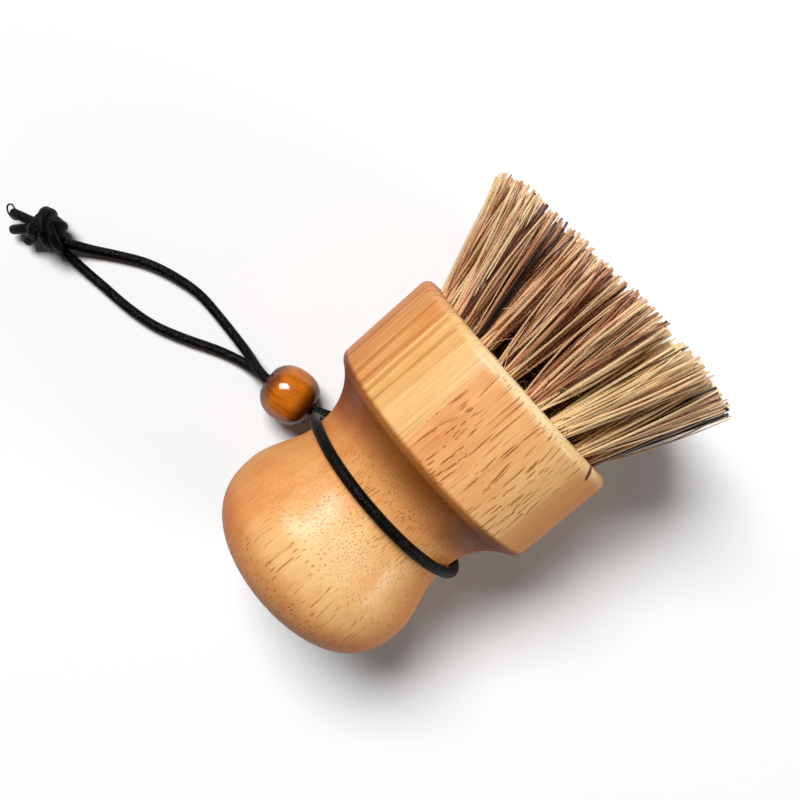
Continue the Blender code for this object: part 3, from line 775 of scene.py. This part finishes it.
class Bamboo(Finish):
    """Laminated bamboo under a satin lacquer. Fibre bundles run along the axis as long thin bodies,
    so they show as dashes where the surface follows them and as dots where it cuts across them.
    They are finer on the neck. The knob's pole, which cuts across the grain, is darker. Light and
    shade are partly painted into the colour: shade on the neck, in the hollow and cove, on the far
    side, the near limb and the knob's end, light on the near side and the knob's top, and
    highlights on the rim and the knob."""

    def __init__(self, matrix):
        super().__init__("lacquered_bamboo", BAMBOO_GLOSS, matrix)
        self.x, self.y, self.z = self.split(self.place)
        self.on_block = self.ease(self.z, *ON_BLOCK_Z)
        self.off_block = self.minus(1.0, self.on_block)
        self.on_knob = self.ease(self.z, *ON_KNOB_Z)
        squares = [self.calc("POWER", side, 2.0) for side in (self.x, self.y)]
        self.round_to = self.calc("DIVIDE", self.y, self.calc("SQRT", self.plus(*squares)))
        self.fibre = self.noise(FIBRE_CELL, detail=2)
        tone = self.board()
        tone = self.streaks(tone)
        tone = self.painted_light_and_shade(tone)
        bundle = self.bundle()
        tone = self.stain(tone, BAMBOO_BUNDLE, bundle)
        tone = self.shade_and_end_grain(tone)
        gap = self.gap()
        self.drive(self.cover(tone, BAMBOO_GAP, gap), "Base Color")
        rough = self.plus(BAMBOO_ROUGHNESS, self.times(bundle, BUNDLE_ROUGHNESS))
        self.drive(self.plus(rough, self.times(self.fibre, FIBRE_ROUGHNESS)), "Roughness")
        height = self.plus(self.times(bundle, -1.0), self.times(self.fibre, FIBRE_HEIGHT))
        height = self.minus(height, self.times(gap, GAP_DEPTH))
        relief = self.raised(height, BAMBOO_RELIEF, BAMBOO_RELIEF_STRENGTH)
        self.drive(relief, "Normal", "Coat Normal")

    def board(self):
        """The boards' own tones: other strips in each layer, joints not quite straight. Then
        painted light on the knob's top and a painted highlight glow near it.
        """
        wavy = self.noise(WAVE_CELL, detail=1)
        shake = self.times(self.minus(wavy, NOISE_MEAN), WAVE_REACH)
        self.board_x = self.plus(self.x, shake)
        board_y = self.plus(self.y, shake)
        below = self.calc("DIVIDE", self.minus(self.board_x, TOP_GLUE), LAYER_PITCH)
        sheet = self.calc("FLOOR", below)
        self.on_top = self.calc("LESS_THAN", sheet, TOP_SHEET)
        aside = self.calc("DIVIDE", self.minus(board_y, STRIP_EDGE), STRIP_WIDTH)
        aside = self.plus(aside, self.times(self.plus(sheet, 1.0), STRIP_STAGGER))
        number = {0: sheet, 1: self.calc("FLOOR", aside), 2: self.on_block}
        number = self.put("ShaderNodeCombineXYZ", number).outputs[0]
        own = self.put("ShaderNodeTexWhiteNoise", {"Vector": number}, noise_dimensions="3D")
        left = self.calc("GREATER_THAN", board_y, STRIP_EDGE)
        self.pale = self.times(self.on_top, self.on_block, left)

        varied = self.times(own.outputs["Value"], INNER_BOARD_VARIES)
        inner = self.cover(BAMBOO_ORANGE, BAMBOO_HONEY, varied)
        honey = self.most(self.on_top, self.minus(HONEY_OFF_BLOCK, self.on_block))
        tone = self.cover(inner, BAMBOO_HONEY, honey)
        tone = self.cover(tone, BAMBOO_PALE, self.pale)
        cloud = self.noise(CLOUD_CELL, detail=2)
        tone = self.cover(tone, BAMBOO_PALE, self.ease(cloud, *CLOUD_PALE))
        tone = self.cover(tone, BAMBOO_ORANGE, self.ease(cloud, *CLOUD_ORANGE))
        # Painted light: the knob's top, turned to the light, is made paler.
        knob_top_light = self.times(self.ease(self.x, *KNOB_TOP_LIGHT_X), self.off_block, KNOB_TOP_LIGHT_AMOUNT)
        tone = self.cover(tone, BAMBOO_PALE, knob_top_light)
        # Painted highlight: a pale glow about the point where the knob's gloss catches the lamp.
        from_highlight = {0: self.place, 1: HIGHLIGHT_AT}
        from_highlight = self.put("ShaderNodeVectorMath", from_highlight, operation="DISTANCE")
        highlight_glow = self.ease(from_highlight.outputs["Value"], *HIGHLIGHT_REACH)
        return self.cover(tone, BAMBOO_HIGHLIGHT_GLOW, highlight_glow)

    def streaks(self, tone):
        """Bands, lines and single fibres along the grain."""
        band = self.ease(self.noise(BAND_CELL, detail=1), *BAND)
        banded = self.times(band, self.between(self.on_block, *BAND_ON_BLOCK))
        tone = self.stain(tone, BAMBOO_STREAK, banded)
        streak = self.noise(STREAK_CELL, detail=3, roughness=STREAK_ROUGHNESS)
        lined = self.between(self.minus(self.on_top, self.pale), *STREAK_ON_TOP)
        lined = self.times(lined, self.between(self.on_block, *STREAK_ON_BLOCK))
        tone = self.stain(tone, BAMBOO_STREAK, self.times(self.ease(streak, *STREAK), lined))
        return self.stain(tone, BAMBOO_STREAK, self.ease(self.fibre, *FIBRE_LINE))

    def painted_light_and_shade(self, tone):
        """Painted light and shade: a pale rim with a painted highlight, painted shade on the far
        side, painted light on the near side, and painted shade on the near limb and the knob's end.
        """
        patch = self.times(self.noise(PATCH_CELL, detail=3), PATCH_REACH)
        # A paler band of wood at the rim, with a painted highlight where the rounded edge catches
        # the light.
        skin = self.times(
            self.ease(self.plus(self.z, patch), *RIM_SHEEN_Z),
            self.ease(self.x, *RIM_SHEEN_TOP_X),
            self.ease(self.y, *RIM_SHEEN_SIDE_Y),
            RIM_SHEEN_AMOUNT,
        )
        tone = self.cover(tone, BAMBOO_PALE_RIM_AND_SHEEN, skin)
        # Painted shade: the far side, which the key lights most, is darkened.
        far_side_shade = self.ease(self.y, *FAR_SIDE_SHADE_Y)
        far_side_shade = self.times(far_side_shade, self.between(self.on_block, *FAR_SIDE_SHADE_ON_BLOCK))
        tone = self.stain(tone, BAMBOO_FAR_SIDE_SHADE, far_side_shade)
        # Painted light: the near side, which the key leaves darker, is made paler.
        near_side_light = self.times(self.ease(self.y, *NEAR_SIDE_LIGHT_Y), self.ease(self.z, *NEAR_SIDE_LIGHT_Z))
        tone = self.cover(tone, BAMBOO_PALE, near_side_light)
        # Painted shade: the near limb, turned from the light, is darker and warmer, except at the
        # rim.
        edge = self.times(self.ease(self.round_to, *LIMB_SHADE_ROUND), self.ease(self.z, *LIMB_SHADE_Z))
        tone = self.stain(tone, BAMBOO_LIMB_SHADE, edge)
        # Painted shade: the knob's end, turned from the light, is darker.
        return self.stain(tone, BAMBOO_END_SHADE, self.ease(self.z, *END_Z))

    def bundles(self, bent, deep_pitch, side_pitch, thickness):
        """One kind of bundle: 1 in the middle of one, and its own chance value."""
        cell = (deep_pitch, side_pitch, 1.0)
        distance, chance = self.cells(bent, cell, BUNDLE_RANDOMNESS, "2D")
        return self.ease(distance, thickness, thickness / 2), chance

    def bundle(self):
        """All the bundles. They swirl at the culm's node, and slope a little into the board."""
        off_node = self.calc("ABSOLUTE", self.minus(self.z, NODE_STATION))
        at_node = self.times(self.ease(off_node, *NODE_REACH), self.on_top)
        swirl = self.wander(SWIRL_CELL, SWIRL_REACH, 0.0)
        swirl = self.put("ShaderNodeVectorMath", {0: swirl, "Scale": at_node}, operation="SCALE")
        slow = self.wander(SLOW_CELL, SLOW_REACH, 0.0)
        bent = self.moved(slow, swirl.outputs[0])
        slope = self.times(self.z, self.between(self.on_block, *GRAIN_SLOPES))
        slope = self.put("ShaderNodeCombineXYZ", {0: slope}).outputs[0]
        sloped = self.vector("ADD", bent, slope)
        plain_side = self.ease(self.y, *PLAIN_SIDE_Y)

        thick, own_chance = self.bundles(sloped, *BLOCK_BUNDLES)
        thick = self.times(
            thick,
            self.calc("LESS_THAN", own_chance, BUNDLES_KEPT),
            self.ease(self.z, *BLOCK_BUNDLES_Z),
            self.on_block,
            self.minus(1.0, self.pale),
            self.between(self.on_top, *BUNDLES_ON_TOP),
        )
        dots, _ = self.bundles(sloped, *KNOB_BUNDLES)
        dots = self.times(dots, self.on_knob, plain_side, self.ease(self.z, *CLEAR_END_Z))
        fine, _ = self.bundles(bent, *NECK_BUNDLES)
        fine = self.times(fine, plain_side, self.minus(self.off_block, self.on_knob))
        depth = self.ease(self.noise(DEPTH_CELL, detail=1), *BUNDLE_DEPTH)
        thin = self.times(self.plus(dots, fine), FINE_BUNDLE_AMOUNT)
        return self.times(self.most(thick, thin), depth)

    def shade_and_end_grain(self, tone):
        """Painted shade on the neck, in the hollow and in the cove under the block, and darker end
        grain at the knob's pole.
        """
        # Painted shade: the neck, under the block, is darker.
        neck = self.times(self.ease(self.y, *NECK_SIDE_Y), self.ease(self.z, *NECK_SIDE_Z))
        neck = self.times(self.most(neck, self.ease(self.z, *NECK_Z)), self.off_block)
        tone = self.stain(tone, BAMBOO_NECK_SHADE, neck)
        # Painted shade in the hollow under the block's rim, on its near and far sides.
        cove_end = self.ease(self.z, *COVE_END_Z)
        near = self.ease(self.round_to, *HOLLOW_NEAR_ROUND)
        far = self.ease(self.round_to, *HOLLOW_FAR_ROUND)
        hollow = self.times(self.ease(self.z, *HOLLOW_Z), cove_end, self.most(near, far))
        tone = self.stain(tone, BAMBOO_HOLLOW_SHADE, hollow)
        # Painted shadow in the cove under the block's rim, and darker end grain at the knob's pole.
        cove_shade = self.times(self.ease(self.z, *COVE_Z), cove_end)
        cove_shade_and_end_grain = self.most(cove_shade, self.ease(self.z, *POLE_Z))
        return self.stain(tone, BAMBOO_COVE_SHADE_AND_END_GRAIN, cove_shade_and_end_grain)

    def gap(self):
        """The small crack: a slanted oval on the block's top side."""
        along = self.minus(self.z, GAP_AT[1])
        across = self.minus(self.y, GAP_AT[0])
        across = self.minus(across, self.times(along, GAP_SLANT))
        across = self.calc("POWER", self.calc("DIVIDE", across, GAP_SIZE[0]), 2.0)
        along = self.calc("POWER", self.calc("DIVIDE", along, GAP_SIZE[1]), 2.0)
        inside = self.ease(self.plus(across, along), *GAP_REACH)
        return self.times(inside, self.calc("LESS_THAN", self.board_x, GAP_TOP_X))


# Bead.
BEAD_GLOSS = {
    "Roughness": 0.35,
    "Specular IOR Level": 0.05,
    "Coat Weight": 0.3,
    "Coat Roughness": 0.11,
    "Coat IOR": 2.4,
}
BEAD_AMBER = (0.66, 0.175, 0.006, 1)
BEAD_RED = (0.26, 0.038, 0.001, 1)
BEAD_DARK = (0.050, 0.008, 0.001, 1)
BEAD_BEND_CELL = (5.0, 5.0, 8.0)
BEAD_BEND_REACH = (2.2, 2.2, 0.0)
BEAD_RING_CELL = (1.3, 3.6, 12.0)
BEAD_PORE_CELL = (0.16, 0.16, 1.6)
BEAD_RINGS = (0.42, 0.70, 0.0, 0.6)
BEAD_PORES = (0.52, 0.70, 0.0, 0.35)
BEAD_END_Z = (1.8, 5.4, 0.0, 0.95)
BEAD_RELIEF = 0.05 * MM
BEAD_RELIEF_STRENGTH = 0.25


def amber_wood(matrix):
    """Pale wood stained amber under thick gloss lacquer: darker at the ends, where it soaks in."""
    finish = Finish("amber_lacquered_wood", BEAD_GLOSS, matrix)
    bent = finish.moved(finish.wander(BEAD_BEND_CELL, BEAD_BEND_REACH))
    rings = finish.noise(BEAD_RING_CELL, detail=3, place=bent)
    pores = finish.noise(BEAD_PORE_CELL, detail=2)
    tone = finish.cover(BEAD_AMBER, BEAD_RED, finish.ease(rings, *BEAD_RINGS))
    end = finish.calc("ABSOLUTE", finish.split(finish.place)[2])
    tone = finish.cover(tone, BEAD_DARK, finish.ease(end, *BEAD_END_Z))
    tone = finish.cover(tone, BEAD_RED, finish.ease(pores, *BEAD_PORES))
    finish.drive(tone, "Base Color")
    finish.drive(finish.raised(rings, BEAD_RELIEF, BEAD_RELIEF_STRENGTH), "Coat Normal")
    return finish.material


# Plant fibre.
FIBRE_GLOSS = {"Roughness": 0.38, "Specular IOR Level": 0.6}
FIBRE_FLECK = (0.72, 0.66, 0.58, 1)
FIBRE_FLECK_CELL = (0.35, 0.35, 0.35)
FIBRE_FLECKED = (0.45, 0.75, 0.0, 0.7)


def plant_fibre():
    """Stiff plant fibre. Each fibre's own colour is an attribute, and fine flecks lie over it."""
    finish = Finish("plant_fibre", FIBRE_GLOSS, Matrix.Identity(4))
    colour = finish.put("ShaderNodeAttribute", attribute_name="fibre_tone").outputs["Color"]
    fleck = finish.noise(FIBRE_FLECK_CELL, detail=2)
    flecked = finish.ease(fleck, *FIBRE_FLECKED)
    finish.drive(finish.stain(colour, FIBRE_FLECK, flecked), "Base Color")
    return finish.material


def make_handle(matrix, places, finish):
    data = turned(handle_outline(), HANDLE_STEPS, "turned_handle", Matrix.Identity(4))
    handle = show("turned_handle", data)
    mouth = HOLE_RADIUS + HOLE_EASE
    drill = (
        (0, -HOLE_DEPTH),
        (HOLE_RADIUS, -HOLE_DEPTH),
        (HOLE_RADIUS, -HOLE_EASE),
        (mouth, HOLE_EASE / 3),
        (mouth, HOLE_OVERRUN),
        (0, HOLE_OVERRUN),
    )
    bm = bmesh.new()
    for _, place in places:
        bm.from_mesh(turned(drill, HOLE_SIDES, "tuft_hole", place))
    cutter = show("tuft_holes", mesh_from(bm, "tuft_holes"))
    holes = handle.modifiers.new("tuft_holes", "BOOLEAN")
    holes.operation = "DIFFERENCE"
    holes.object = cutter
    data = made_mesh(handle, "turned_handle")
    bpy.data.objects.remove(cutter, do_unlink=True)
    data.transform(matrix)
    keep_inside(data.vertices)
    piece("turned_handle", data, finish, "brush", "bamboo", "handle")


def tuft_places():
    """Each tuft's name, and its matrix at its hole's mouth, with Z along the bristles."""
    apex = UP * (FACE_STATION - APEX_DEPTH)
    places = []
    for ring, (count, ring_name) in enumerate(zip(RING_COUNTS, RING_NAMES)):
        radius = RING_PITCH * ring
        for i in range(count):
            turn = 2 * math.pi * (i + 0.5) / count
            mouth = heading(turn) * radius + UP * FACE_STATION
            name = ring_name if count == 1 else f"{ring_name}_{i + 1:02d}"
            places.append((name, Matrix.Translation(mouth) @ turn_to(mouth - apex)))
    return places


# Fibre tones from blond to near black, and the mixes that the tufts are bound from.
FIBRE_TONES = (
    (1.0, 0.71, 0.39),
    (0.88, 0.54, 0.30),
    (0.52, 0.23, 0.115),
    (0.14, 0.048, 0.027),
    (0.018, 0.009, 0.006),
)
PALE_MIX = (0.60, 0.30, 0.08, 0.02, 0.0)
BLOND_MIX = (0.66, 0.18, 0.05, 0.03, 0.08)
TAN_MIX = (0.32, 0.44, 0.16, 0.06, 0.02)
BROWN_MIX = (0.20, 0.34, 0.26, 0.14, 0.06)
DARK_AND_SHADE_MIX = (0.10, 0.20, 0.24, 0.26, 0.20)
BLACK_MIX = (0.14, 0.06, 0.06, 0.24, 0.50)
HAIR_TONES = (0, 0, 1, 3)

# How far some outer tufts' tips lean along the brush's X and Y, and how much longer they are.
TUFT_SET = {
    "outer_05": (0, 0, 0.3 * MM),
    "outer_06": (0, 0, 0.3 * MM),
    "outer_12": (0, 0.4 * MM, 0),
    "outer_13": (0, 1.4 * MM, 0.2 * MM),
    "outer_14": (0, 1.3 * MM, 0.4 * MM),
    "outer_15": (0, 1.6 * MM, 0),
}
TUFT_MIXES = {
    "outer_05": BLOND_MIX,
    "outer_06": PALE_MIX,
    "outer_07": TAN_MIX,
    "outer_08": TAN_MIX,
    "outer_09": BROWN_MIX,
    "outer_10": TAN_MIX,
    "outer_11": BLOND_MIX,
    "outer_12": BLOND_MIX,
    "outer_13": BLOND_MIX,
    "outer_14": BLACK_MIX,
    # Dark fibres in the middle ring, partly painted shade where the outer tufts shade them.
    "middle_05": DARK_AND_SHADE_MIX,
    "middle_06": DARK_AND_SHADE_MIX,
    "middle_07": BROWN_MIX,
    "middle_08": BLOND_MIX,
}


def keep_inside(verts):
    """Moves corners that reach out of the solids' box back to its walls."""
    low, high = cad_box
    for vert in verts:
        for k in range(3):
            vert.co[k] = min(max(vert.co[k], low[k] + BOX_CLEARANCE), high[k] - BOX_CLEARANCE)


def fibre_path(place, root, lift, lean, chance):
    """One fibre in its tuft's frame, from inside the hole to its cut tip, splayed and bowed."""
    axis_out = (place.to_3x3() @ UP).normalized()
    centre = place.translation + axis_out * (BRISTLE_LENGTH / axis_out.z)
    stray = Vector((chance.gauss(0, FIBRE_STRAY), chance.gauss(0, FIBRE_STRAY), 0)) + lean
    crossed = Matrix.Rotation(chance.gauss(0, FIBRE_CROSS), 3, "Z") @ root
    around = UP.cross(place.translation).normalized()
    crossed += around * around.dot(crossed) * (FIBRE_ROUND_RING - 1)
    tip = centre + place.to_3x3() @ (crossed * FIBRE_SPREAD + stray)
    height = FACE_STATION + BRISTLE_LENGTH + lift - TIP_SLOPE * tip.y / BLOCK_RADIUS
    tip = place.inverted() @ (tip + axis_out * ((height - tip.z) / axis_out.z))
    bow = Vector((chance.gauss(0, FIBRE_BOW), chance.gauss(0, FIBRE_BOW), 0))
    path = [root - UP * FIBRE_SINK]
    for i in range(FIBRE_POINTS):
        share = i / (FIBRE_POINTS - 1)
        path.append(root.lerp(tip, share) + bow * math.sin(math.pi * share))
    return path


def shaded(tone, chance):
    level = chance.uniform(*FIBRE_BRIGHTNESS)
    return [min(1.0, channel * level) for channel in tone] + [1.0]


def fibre_piece(name, fibres, matrix, finish, *nodes):
    """Grows a thin rod for each path, radius and colour, all at once, by drawing out the face at
    its end."""
    bm = bmesh.new()
    tone = bm.verts.layers.float_color.new("fibre_tone")
    number = bm.faces.layers.int.new("fibre_number")
    for i, (path, radius, colour) in enumerate(fibres):
        start = Matrix.Translation(path[0])
        made = bmesh.ops.create_circle(
            bm, cap_ends=True, segments=FIBRE_SIDES, radius=radius, matrix=start
        )
        made["verts"][0].link_faces[0][number] = i
        for vert in made["verts"]:
            vert[tone] = colour
    steps = len(fibres[0][0]) - 1
    shrink = FIBRE_TIP_SHARE ** (1 / steps)
    ends = bm.faces[:]
    for step in range(steps):
        ends = bmesh.ops.extrude_discrete_faces(bm, faces=ends)["faces"]
        for end in ends:
            path, _, _ = fibres[end[number]]
            for vert in end.verts:
                vert.co = path[step + 1] + (vert.co - path[step]) * shrink
    close_ends(bm)
    bm.faces.layers.int.remove(number)
    bmesh.ops.transform(bm, matrix=matrix, verts=bm.verts)
    keep_inside(bm.verts)
    piece(name, mesh_from(bm, name), finish, "brush", "bristle", *nodes, smooth=None)


def make_tuft(name, place, matrix, finish, chance):
    mix = TUFT_MIXES.get(name) or chance.choice((BLOND_MIX, TAN_MIX, BROWN_MIX))
    tuft_lift = FIBRE_LONG - chance.random() * TUFT_LIFT
    lean = Vector((chance.gauss(0, TUFT_LEAN), chance.gauss(0, TUFT_LEAN), 0))
    if name in TUFT_SET:
        lean_x, lean_y, tuft_lift = TUFT_SET[name]
        lean = Vector((lean_x, lean_y, 0))
    clumps = chance.choices(FIBRE_TONES, mix, k=CLUMPS)
    fibres = []
    for i in range(FIBRES_PER_TUFT):
        spread = FIBRE_FILL_SHARE * HOLE_RADIUS * math.sqrt((i + 0.5) / FIBRES_PER_TUFT)
        turn = i * FIBRE_TURN + chance.uniform(-FIBRE_TURN_ERROR, FIBRE_TURN_ERROR)
        root = heading(turn) * spread
        lift = tuft_lift - chance.random() ** 2 * FIBRE_SHORT
        path = fibre_path(place, root, lift, lean, chance)
        radius = FIBRE_RADIUS * chance.uniform(FIBRE_THIN_SHARE, 1.0)
        own = chance.choices(FIBRE_TONES, mix)[0]
        near = clumps[int(turn / math.tau * CLUMPS) % CLUMPS]
        tone = near if chance.random() < CLUMP_SHARE else own
        fibres.append((path, radius, shaded(tone, chance)))
    fibre_piece(f"fibres_{name}", fibres, matrix @ place, finish, f"tuft_{name}")


def hair_path(place, length, chance):
    """A loose hair: it leaves its tuft at a slant and curls as it goes."""
    edge = chance.uniform(0, math.tau)
    point = heading(edge) * HOLE_RADIUS
    way = (UP + point.normalized() * chance.gauss(0, LOOSE_HAIR_LEAN)).normalized()
    axis = Vector((chance.gauss(0, 1), chance.gauss(0, 1), chance.gauss(0, 1))).normalized()
    curl = Matrix.Rotation(chance.gauss(0, LOOSE_HAIR_CURL), 3, axis)
    path = [place @ point]
    for _ in range(LOOSE_HAIR_POINTS):
        point = point + way * (length / LOOSE_HAIR_POINTS)
        path.append(place @ point)
        way = curl @ way
    return path


def make_loose_hairs(places, matrix, finish, chance):
    hairs = []
    upper = [place for name, place in places if name in TUFT_MIXES and name not in TUFT_SET]
    for _ in range(LOOSE_HAIRS):
        place = chance.choice(upper)
        path = hair_path(place, chance.uniform(*LOOSE_HAIR_LENGTH), chance)
        radius = LOOSE_HAIR_RADIUS * chance.uniform(FIBRE_THIN_SHARE, 1.0)
        tone = FIBRE_TONES[chance.choice(HAIR_TONES)]
        hairs.append((path, radius, shaded(tone, chance)))
    fibre_piece("loose_hairs", hairs, matrix, finish)


def bead_outline():
    half = BEAD_LENGTH / 2
    start = math.asin(((BEAD_BORE + BEAD_MOUTH) / BEAD_RADIUS) ** (BEAD_ROUNDNESS / 2))
    points = [(BEAD_BORE, BEAD_MOUTH - half)]
    for i in range(BEAD_POINTS):
        turn = start + (math.pi - 2 * start) * i / (BEAD_POINTS - 1)
        along = math.copysign(abs(math.cos(turn)) ** (2 / BEAD_ROUNDNESS), math.cos(turn))
        reach = -half * along / math.cos(start) ** (2 / BEAD_ROUNDNESS)
        points.append((BEAD_RADIUS * math.sin(turn) ** (2 / BEAD_ROUNDNESS), reach))
    return points + [(BEAD_BORE, half - BEAD_MOUTH)]


def bead_place():
    return Matrix.Translation(BEAD_FLOOR + UP * BEAD_RADIUS) @ turn_to(SLIDE_AXIS)


def make_bead():
    data = turned(bead_outline(), BEAD_STEPS, "bead", bead_place(), closed_profile=True)
    return piece("bead", data, amber_wood(bead_place()), "bead", "amber_wood", "cord_bead")


def cord_round(bm, centre, normal, capped):
    """The corners, the edges and the cap of a circle of the cord's section."""
    place = Matrix.Translation(centre) @ turn_to(normal)
    verts = bmesh.ops.create_circle(
        bm, cap_ends=capped, segments=KNOT_SIDES, radius=CORD_RADIUS, matrix=place
    )["verts"]
    edges = dict.fromkeys(e for v in verts for e in v.link_edges)
    return [*verts, *edges, *verts[0].link_faces]


def knot_turn(bm, tilt, shift, radius):
    """One closed turn of the cord about the knot's core."""
    side = SLIDE_AXIS.cross(UP)
    axis = SLIDE_AXIS * math.cos(tilt) + side * math.sin(tilt)
    centre = KNOT_CENTRE + SLIDE_AXIS * shift
    out = axis.orthogonal().normalized()
    section = cord_round(bm, centre + out * radius, axis.cross(out), capped=False)
    spin_round(bm, section, centre, axis, KNOT_STEPS)


def knot_tail(bm, turn, rise, bend):
    """A cut end that leaves the knot and bends down to lie on the floor."""
    flat = heading(turn)
    out = flat * math.cos(rise) + UP * math.sin(rise)
    side = UP.cross(flat)
    start = KNOT_CENTRE + flat * KNOT_RADIUS * TAIL_START_SHARE
    section = cord_round(bm, start, out, capped=True)
    centre = start - out.cross(side) * TAIL_BEND
    bmesh.ops.spin(bm, geom=section, cent=centre, axis=side, angle=bend, steps=TAIL_STEPS)


def make_knot(finish):
    bm = bmesh.new()
    core = Matrix.Translation(KNOT_CENTRE)
    bmesh.ops.create_icosphere(
        bm, subdivisions=KNOT_CORE_SUBDIVISIONS, radius=KNOT_RADIUS, matrix=core
    )
    for tilt, shift, radius in KNOT_TURNS:
        knot_turn(bm, math.radians(tilt), shift * MM, radius * MM)
    for tail in TAILS:
        knot_tail(bm, *map(math.radians, tail))
    peel = smooth_route([KNOT_CENTRE + Vector(step) * MM for step in PEEL])
    bm.from_mesh(tube_mesh("peel", peel, PEEL_RADIUS, roundness=PEEL_ROUNDNESS))
    keep_inside(bm.verts)
    return piece("knot", mesh_from(bm, "knot"), finish, "cord", "leather", "cord_knot")


def make_floor():
    """A plain floor. It looks white, and throws less light back up than white would."""
    bm = bmesh.new()
    bmesh.ops.create_grid(bm, x_segments=1, y_segments=1, size=FLOOR_HALF)
    floor = show("floor", mesh_from(bm, "floor"))
    finish = Finish("pale_floor", FLOOR_GLOSS)
    path = finish.put("ShaderNodeLightPath").outputs
    seen = finish.most(path["Is Camera Ray"], path["Is Glossy Ray"])
    seen = finish.most(seen, path["Is Transmission Ray"])
    finish.drive(finish.cover(FLOOR_BOUNCE, FLOOR_WHITE, seen), "Base Color")
    floor.data.materials.append(finish.material)


def lamp(name, toward, distance, size, share):
    """A rectangular lamp that lights a level white sheet to a share of full brightness."""
    data = bpy.data.lights.new(name, "AREA")
    data.shape = "RECTANGLE"
    data.size, data.size_y = size
    toward = Vector(toward).normalized()
    data.energy = share * math.pi**2 * distance**2 / toward.z
    aimed(show(name, data), toward * distance, toward, heading(CAMERA_TURN))


def make_light():
    """The lamps, and a tent that is pale low down and dark above."""
    for name, facts in LAMPS.items():
        lamp(name, *facts)
    world = bpy.data.worlds.new("studio")
    bpy.context.scene.world = world
    world.use_nodes = True
    tent = Nodes(world.node_tree)
    rise = tent.split(tent.put("ShaderNodeTexCoord").outputs["Generated"])["Z"]
    strength = tent.ease(rise, TENT_WHITE_TO, TENT_DARK_FROM, TENT_LOW, TENT_TOP)
    background = world.node_tree.nodes["Background"]
    background.inputs["Color"].default_value = TENT_COLOUR
    world.node_tree.links.new(strength, background.inputs["Strength"])


def main():
    chance = random.Random(FIBRE_SEED)
    make_camera()
    black = black_leather()
    knot = make_knot(black)
    bead = make_bead()
    make_cord("noose", "neck_noose", noose_path(), black, chance)
    high, low = strand_path(STRAND_HIGH_ROUTE), strand_path(STRAND_LOW_ROUTE)
    upper = make_cord("upper_strand", "cord_strand_upper", high, black, chance)
    lower = make_cord("lower_strand", "cord_strand_lower", low, black, chance)
    draw_straight(upper)
    draw_straight(lower)

    brush = brush_place()
    places = tuft_places()
    make_handle(brush, places, Bamboo(brush).material)
    fibre = plant_fibre()
    for name, place in places:
        make_tuft(name, place, brush, fibre, chance)
    make_loose_hairs(places, brush, fibre, chance)

    make_floor()
    make_light()
    bpy.context.scene.view_settings.view_transform = "Standard"


main()
